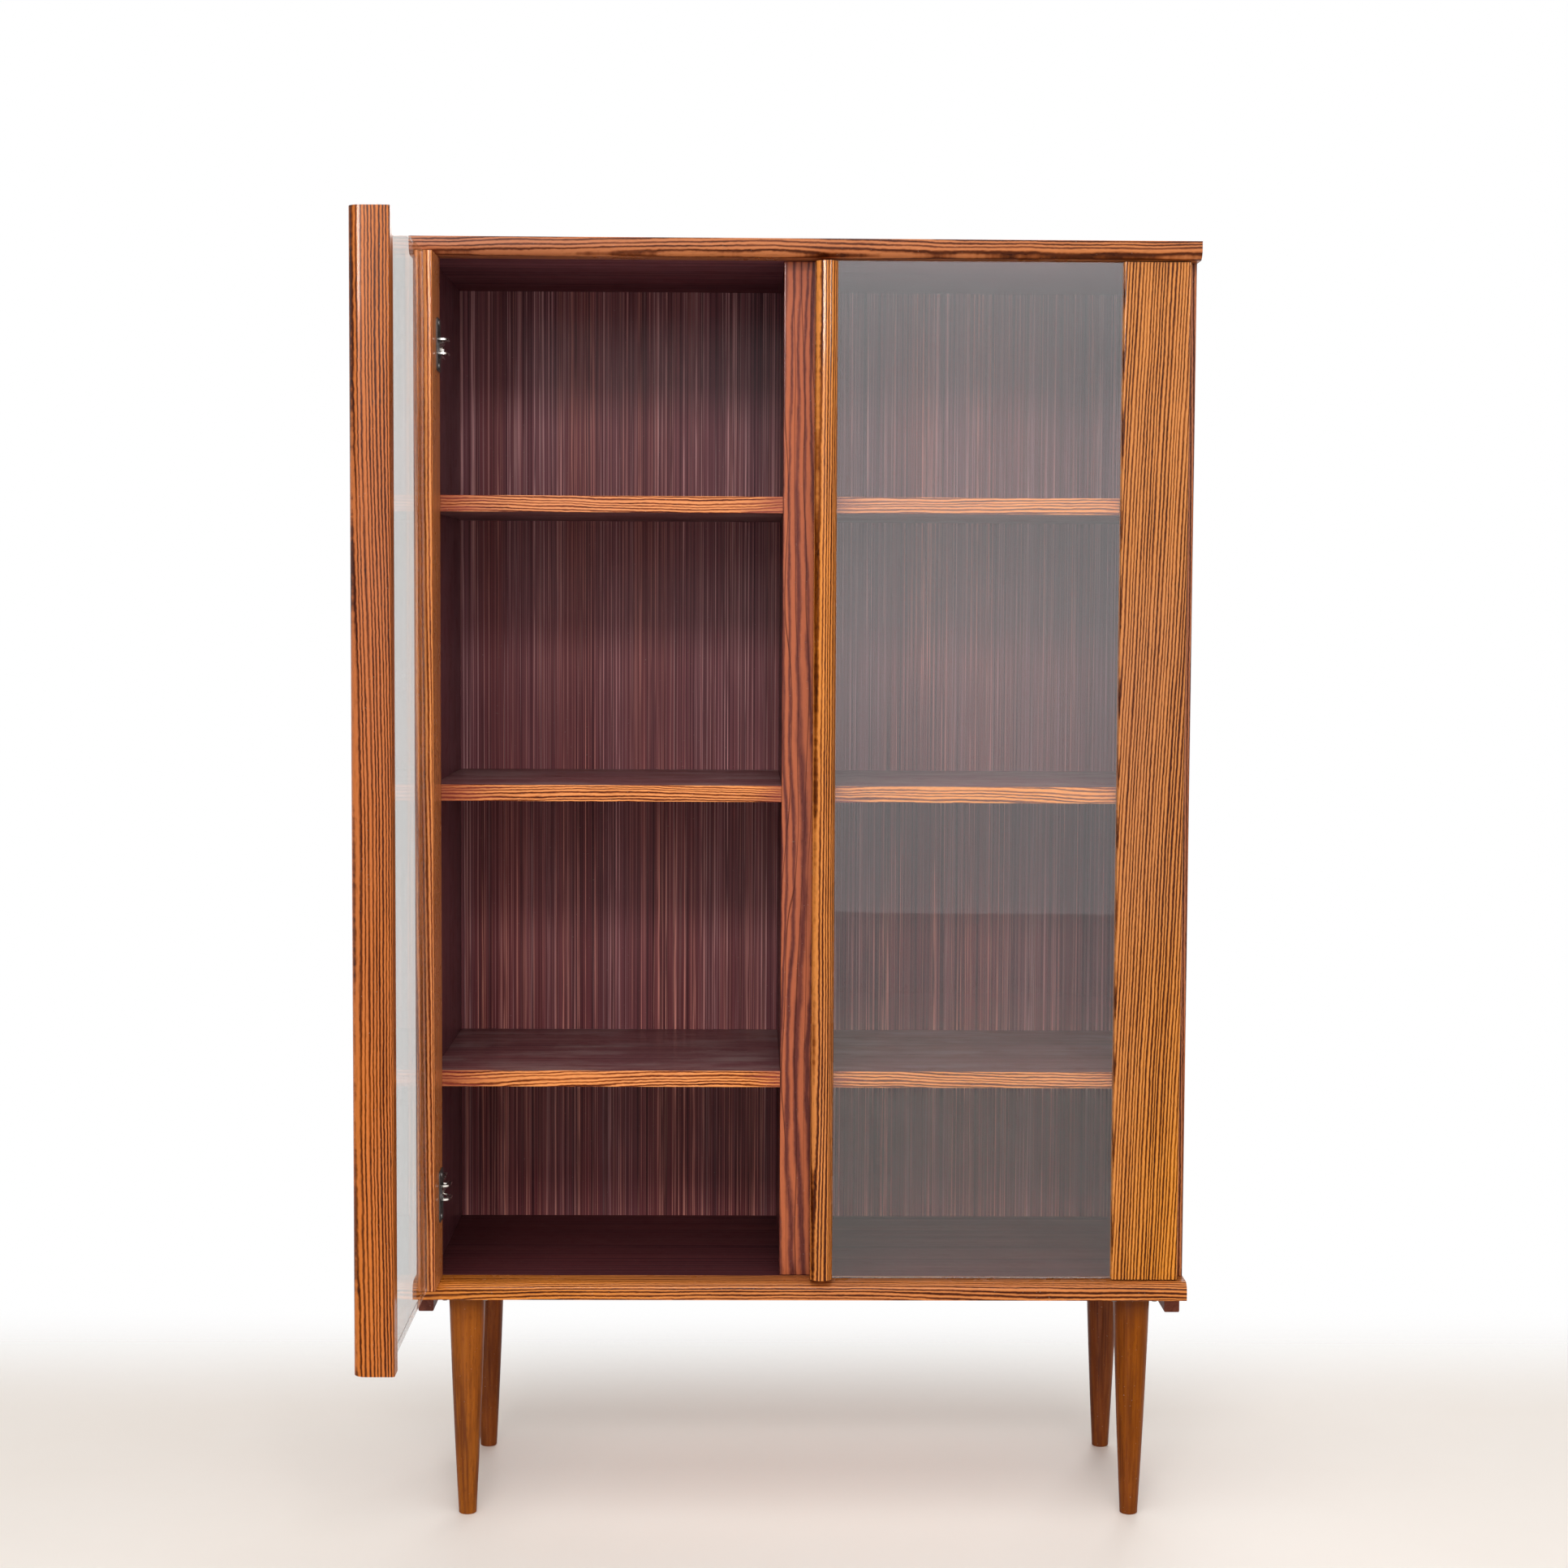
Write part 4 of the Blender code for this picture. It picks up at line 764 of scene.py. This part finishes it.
def cup_seats(side, closed):
    """Two screws in each cup's flange. The flange lies on the stile's inner face, which faces +Y when closed."""
    seats = []
    for level in LEVELS:
        pin_low, pin_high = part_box(side + "_" + level + "_hinge_pin")
        axis = (pin_low + pin_high) / 2
        for rise in (-CUP_SCREW_RISE, CUP_SCREW_RISE):
            if closed:
                seats.append((axis.x - CUP_SCREW_INBOARD, axis.y + CUP_FLANGE_STAND, axis.z + rise))
            else:
                seats.append((axis.x + CUP_FLANGE_STAND, axis.y - CUP_SCREW_INBOARD, axis.z + rise))
    return seats


def leg_plate_seats():
    """Four screws at the corners of each leg plate."""
    seats = []
    for name in NODES:
        if name.endswith("_leg_plate"):
            low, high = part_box(name)
            middle = (low + high) / 2
            for across in (-LEG_PLATE_SCREW_OUT, LEG_PLATE_SCREW_OUT):
                for along in (-LEG_PLATE_SCREW_OUT, LEG_PLATE_SCREW_OUT):
                    seats.append((middle.x + across, middle.y + along, low.z))
    return seats


def nail_seats():
    """Pins round the back panel and up its middle, where the divider stands."""
    low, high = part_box("back_panel")
    middle = (low.x + high.x) / 2
    seats = []
    for step in range(8):
        height = low.z + PIN_END_INSET + (high.z - low.z - 2 * PIN_END_INSET) * step / 7
        seats.append((low.x + PIN_INSET, high.y, height))
        seats.append((high.x - PIN_INSET, high.y, height))
        if 0 < step < 7:
            seats.append((middle, high.y, height))
    for step in range(1, 6):
        if step != 3:
            across = low.x + (high.x - low.x) * step / 6
            seats.append((across, high.y, low.z + PIN_END_INSET))
            seats.append((across, high.y, high.z - PIN_END_INSET))
    return seats


for side, hand in SIDES:
    set_in(
        side + "_hinge_plate_screws", pan_screw(0.0034, 0.0018, 0.0016, 0.014), hinge_plate_seats(side, hand),
        (-hand, 0.0, 0.0), DULL_NICKEL, "cabinet",
    )
    set_in(
        side + "_cup_screws", pan_screw(0.0034, 0.0014, 0.0016, 0.012), cup_seats(side, hand > 0),
        (0.0, 1.0, 0.0) if hand > 0 else (1.0, 0.0, 0.0), DULL_NICKEL, side + "_door",
    )
set_in(
    "leg_plate_screws", pan_screw(0.0036, 0.0018, 0.0016, 0.014), leg_plate_seats(), (0.0, 0.0, -1.0), DARK_STEEL,
    "cabinet",
)
set_in(
    "back_panel_pins", nail(0.0019, 0.0008, 0.016), nail_seats(), (0.0, 1.0, 0.0), DARK_STEEL,
    "cabinet",
)


# ---------------------------------------------------------------- floor, light and camera

def make_floor():
    """A pale round floor that fades into the white round it."""
    shape = bmesh.new()
    bmesh.ops.create_circle(shape, cap_ends=True, segments=96, radius=5.2)
    mesh = bpy.data.meshes.new("studio_floor")
    shape.to_mesh(mesh)
    shape.free()
    made = bpy.data.objects.new("studio_floor", mesh)
    bpy.context.scene.collection.objects.link(made)
    finish, tree, shader, at = new_finish("pale_floor")
    mottle = cloud(tree, at, 3.0, 5.0, 0.6)
    shown = blend_colours(tree, mottle, tint(249, 240, 230), tint(253, 246, 238))
    tree.links.new(shown, shader.inputs["Base Color"])
    shader.inputs["Roughness"].default_value = 0.6
    parts = put(tree, "ShaderNodeSeparateXYZ", {0: at}).outputs
    behind = fade(tree, parts[1], 0.42, 1.0)
    away = put(tree, "ShaderNodeVectorMath", {0: at}, operation="LENGTH").outputs["Value"]
    gone = sum_up(tree, "MAXIMUM", behind, fade(tree, away, 3.0, 5.0))
    clear = tree.nodes.new("ShaderNodeBsdfTransparent")
    faded = put(tree, "ShaderNodeMixShader", {0: gone, 1: shader.outputs[0], 2: clear.outputs[0]})
    tree.links.new(faded.outputs[0], tree.nodes["Material Output"].inputs["Surface"])
    mesh.materials.append(finish)


def make_world():
    """White round the object for the camera and in reflections, softer for the light it gives."""
    world = bpy.data.worlds.new("studio")
    bpy.context.scene.world = world
    world.use_nodes = True
    tree = world.node_tree
    light = tree.nodes["Background"]
    light.inputs["Color"].default_value = (1.0, 1.0, 1.0, 1.0)
    light.inputs["Strength"].default_value = 0.30
    white = put(tree, "ShaderNodeBackground", {"Color": (1.0, 1.0, 1.0, 1.0), "Strength": 1.0})
    path = tree.nodes.new("ShaderNodeLightPath").outputs
    seen = sum_up(tree, "MAXIMUM", path["Is Camera Ray"], path["Is Glossy Ray"])
    seen = sum_up(tree, "MAXIMUM", seen, path["Is Transmission Ray"])
    mixed = put(tree, "ShaderNodeMixShader", {0: seen, 1: light.outputs[0], 2: white.outputs[0]})
    tree.links.new(mixed.outputs[0], tree.nodes["World Output"].inputs["Surface"])


def soft_lamp(name, place, target, width, height, power, colour=(1.0, 1.0, 1.0)):
    """A rectangular soft lamp that the camera doesn't see."""
    data = bpy.data.lights.new(name, "AREA")
    data.shape = "RECTANGLE"
    data.size = width
    data.size_y = height
    data.energy = power
    data.color = colour
    made = bpy.data.objects.new(name, data)
    bpy.context.scene.collection.objects.link(made)
    heading = Vector(target) - Vector(place)
    made.matrix_world = Matrix.Translation(place) @ heading.to_track_quat("-Z", "Y").to_matrix().to_4x4()
    made.visible_camera = False
    return made


def shape_softbox(lamp):
    """Dims a soft lamp towards its sides and its lower end, as a cloth softbox with its tubes at the top is."""
    lamp.data.use_nodes = True
    tree = lamp.data.node_tree
    place = tree.nodes.new("ShaderNodeNewGeometry").outputs["Parametric"]
    parts = put(tree, "ShaderNodeSeparateXYZ", {0: place}).outputs
    aside = sum_up(tree, "ABSOLUTE", sum_up(tree, "SUBTRACT", parts[0], 0.5))
    inner = sum_up(tree, "MULTIPLY_ADD", fade(tree, aside, 0.12, 0.5), -0.55, 1.0)
    level = sum_up(tree, "MULTIPLY_ADD", fade(tree, parts[1], 0.0, 0.35), 0.35, 0.32)
    level = sum_up(tree, "MULTIPLY_ADD", fade(tree, parts[1], 0.55, 0.85), 1.0, level)
    strength = sum_up(tree, "MULTIPLY", inner, level)
    tree.links.new(strength, tree.nodes["Emission"].inputs["Strength"])


def make_camera():
    """The photograph's viewpoint."""
    yaw, pitch, roll = 0.01390, 0.06447, 0.00515
    ahead = Vector((math.sin(yaw) * math.cos(pitch), math.cos(yaw) * math.cos(pitch), -math.sin(pitch)))
    level = Vector((math.cos(yaw), -math.sin(yaw), 0.0))
    down = ahead.cross(level)
    across = level * math.cos(roll) - down * math.sin(roll)
    down = level * math.sin(roll) + down * math.cos(roll)
    data = bpy.data.cameras.new("camera")
    data.lens = 61.36
    data.sensor_width = 36.0
    data.clip_start = 0.05
    made = bpy.data.objects.new("camera", data)
    bpy.context.scene.collection.objects.link(made)
    turn = Matrix((across, -down, -ahead)).transposed().to_4x4()
    made.matrix_world = Matrix.Translation((-0.05984, -3.03577, 1.06353)) @ turn
    bpy.context.scene.camera = made


make_floor()
make_world()
shape_softbox(soft_lamp("front_panel", (0.55, -4.6, 1.55), (0.2, 0.0, 1.2), 4.2, 2.75, 60.0, (0.96, 0.94, 0.97)))
soft_lamp("high_panel", (-0.3, -4.3, 3.3), (0.0, 0.0, 0.9), 2.4, 0.7, 84.0)
soft_lamp("rear_panel", (0.6, 4.4, 2.6), (0.0, 0.0, 0.6), 3.0, 1.8, 55.0)
soft_lamp("overhead_panel", (0.0, -0.9, 3.4), (0.0, -0.4, 0.0), 3.0, 3.0, 52.0)
for name, place, width, power in (
    ("left_window", (-2.0, -4.1, 2.35), 1.8, 420.0),
    ("right_window", (3.1, -3.6, 2.35), 0.8, 140.0),
):
    window = soft_lamp(name, place, (0.0, 0.0, 1.2), width, 1.1, power)
    window.visible_diffuse = False
make_camera()

view = bpy.context.scene.view_settings
view.view_transform = "Standard"
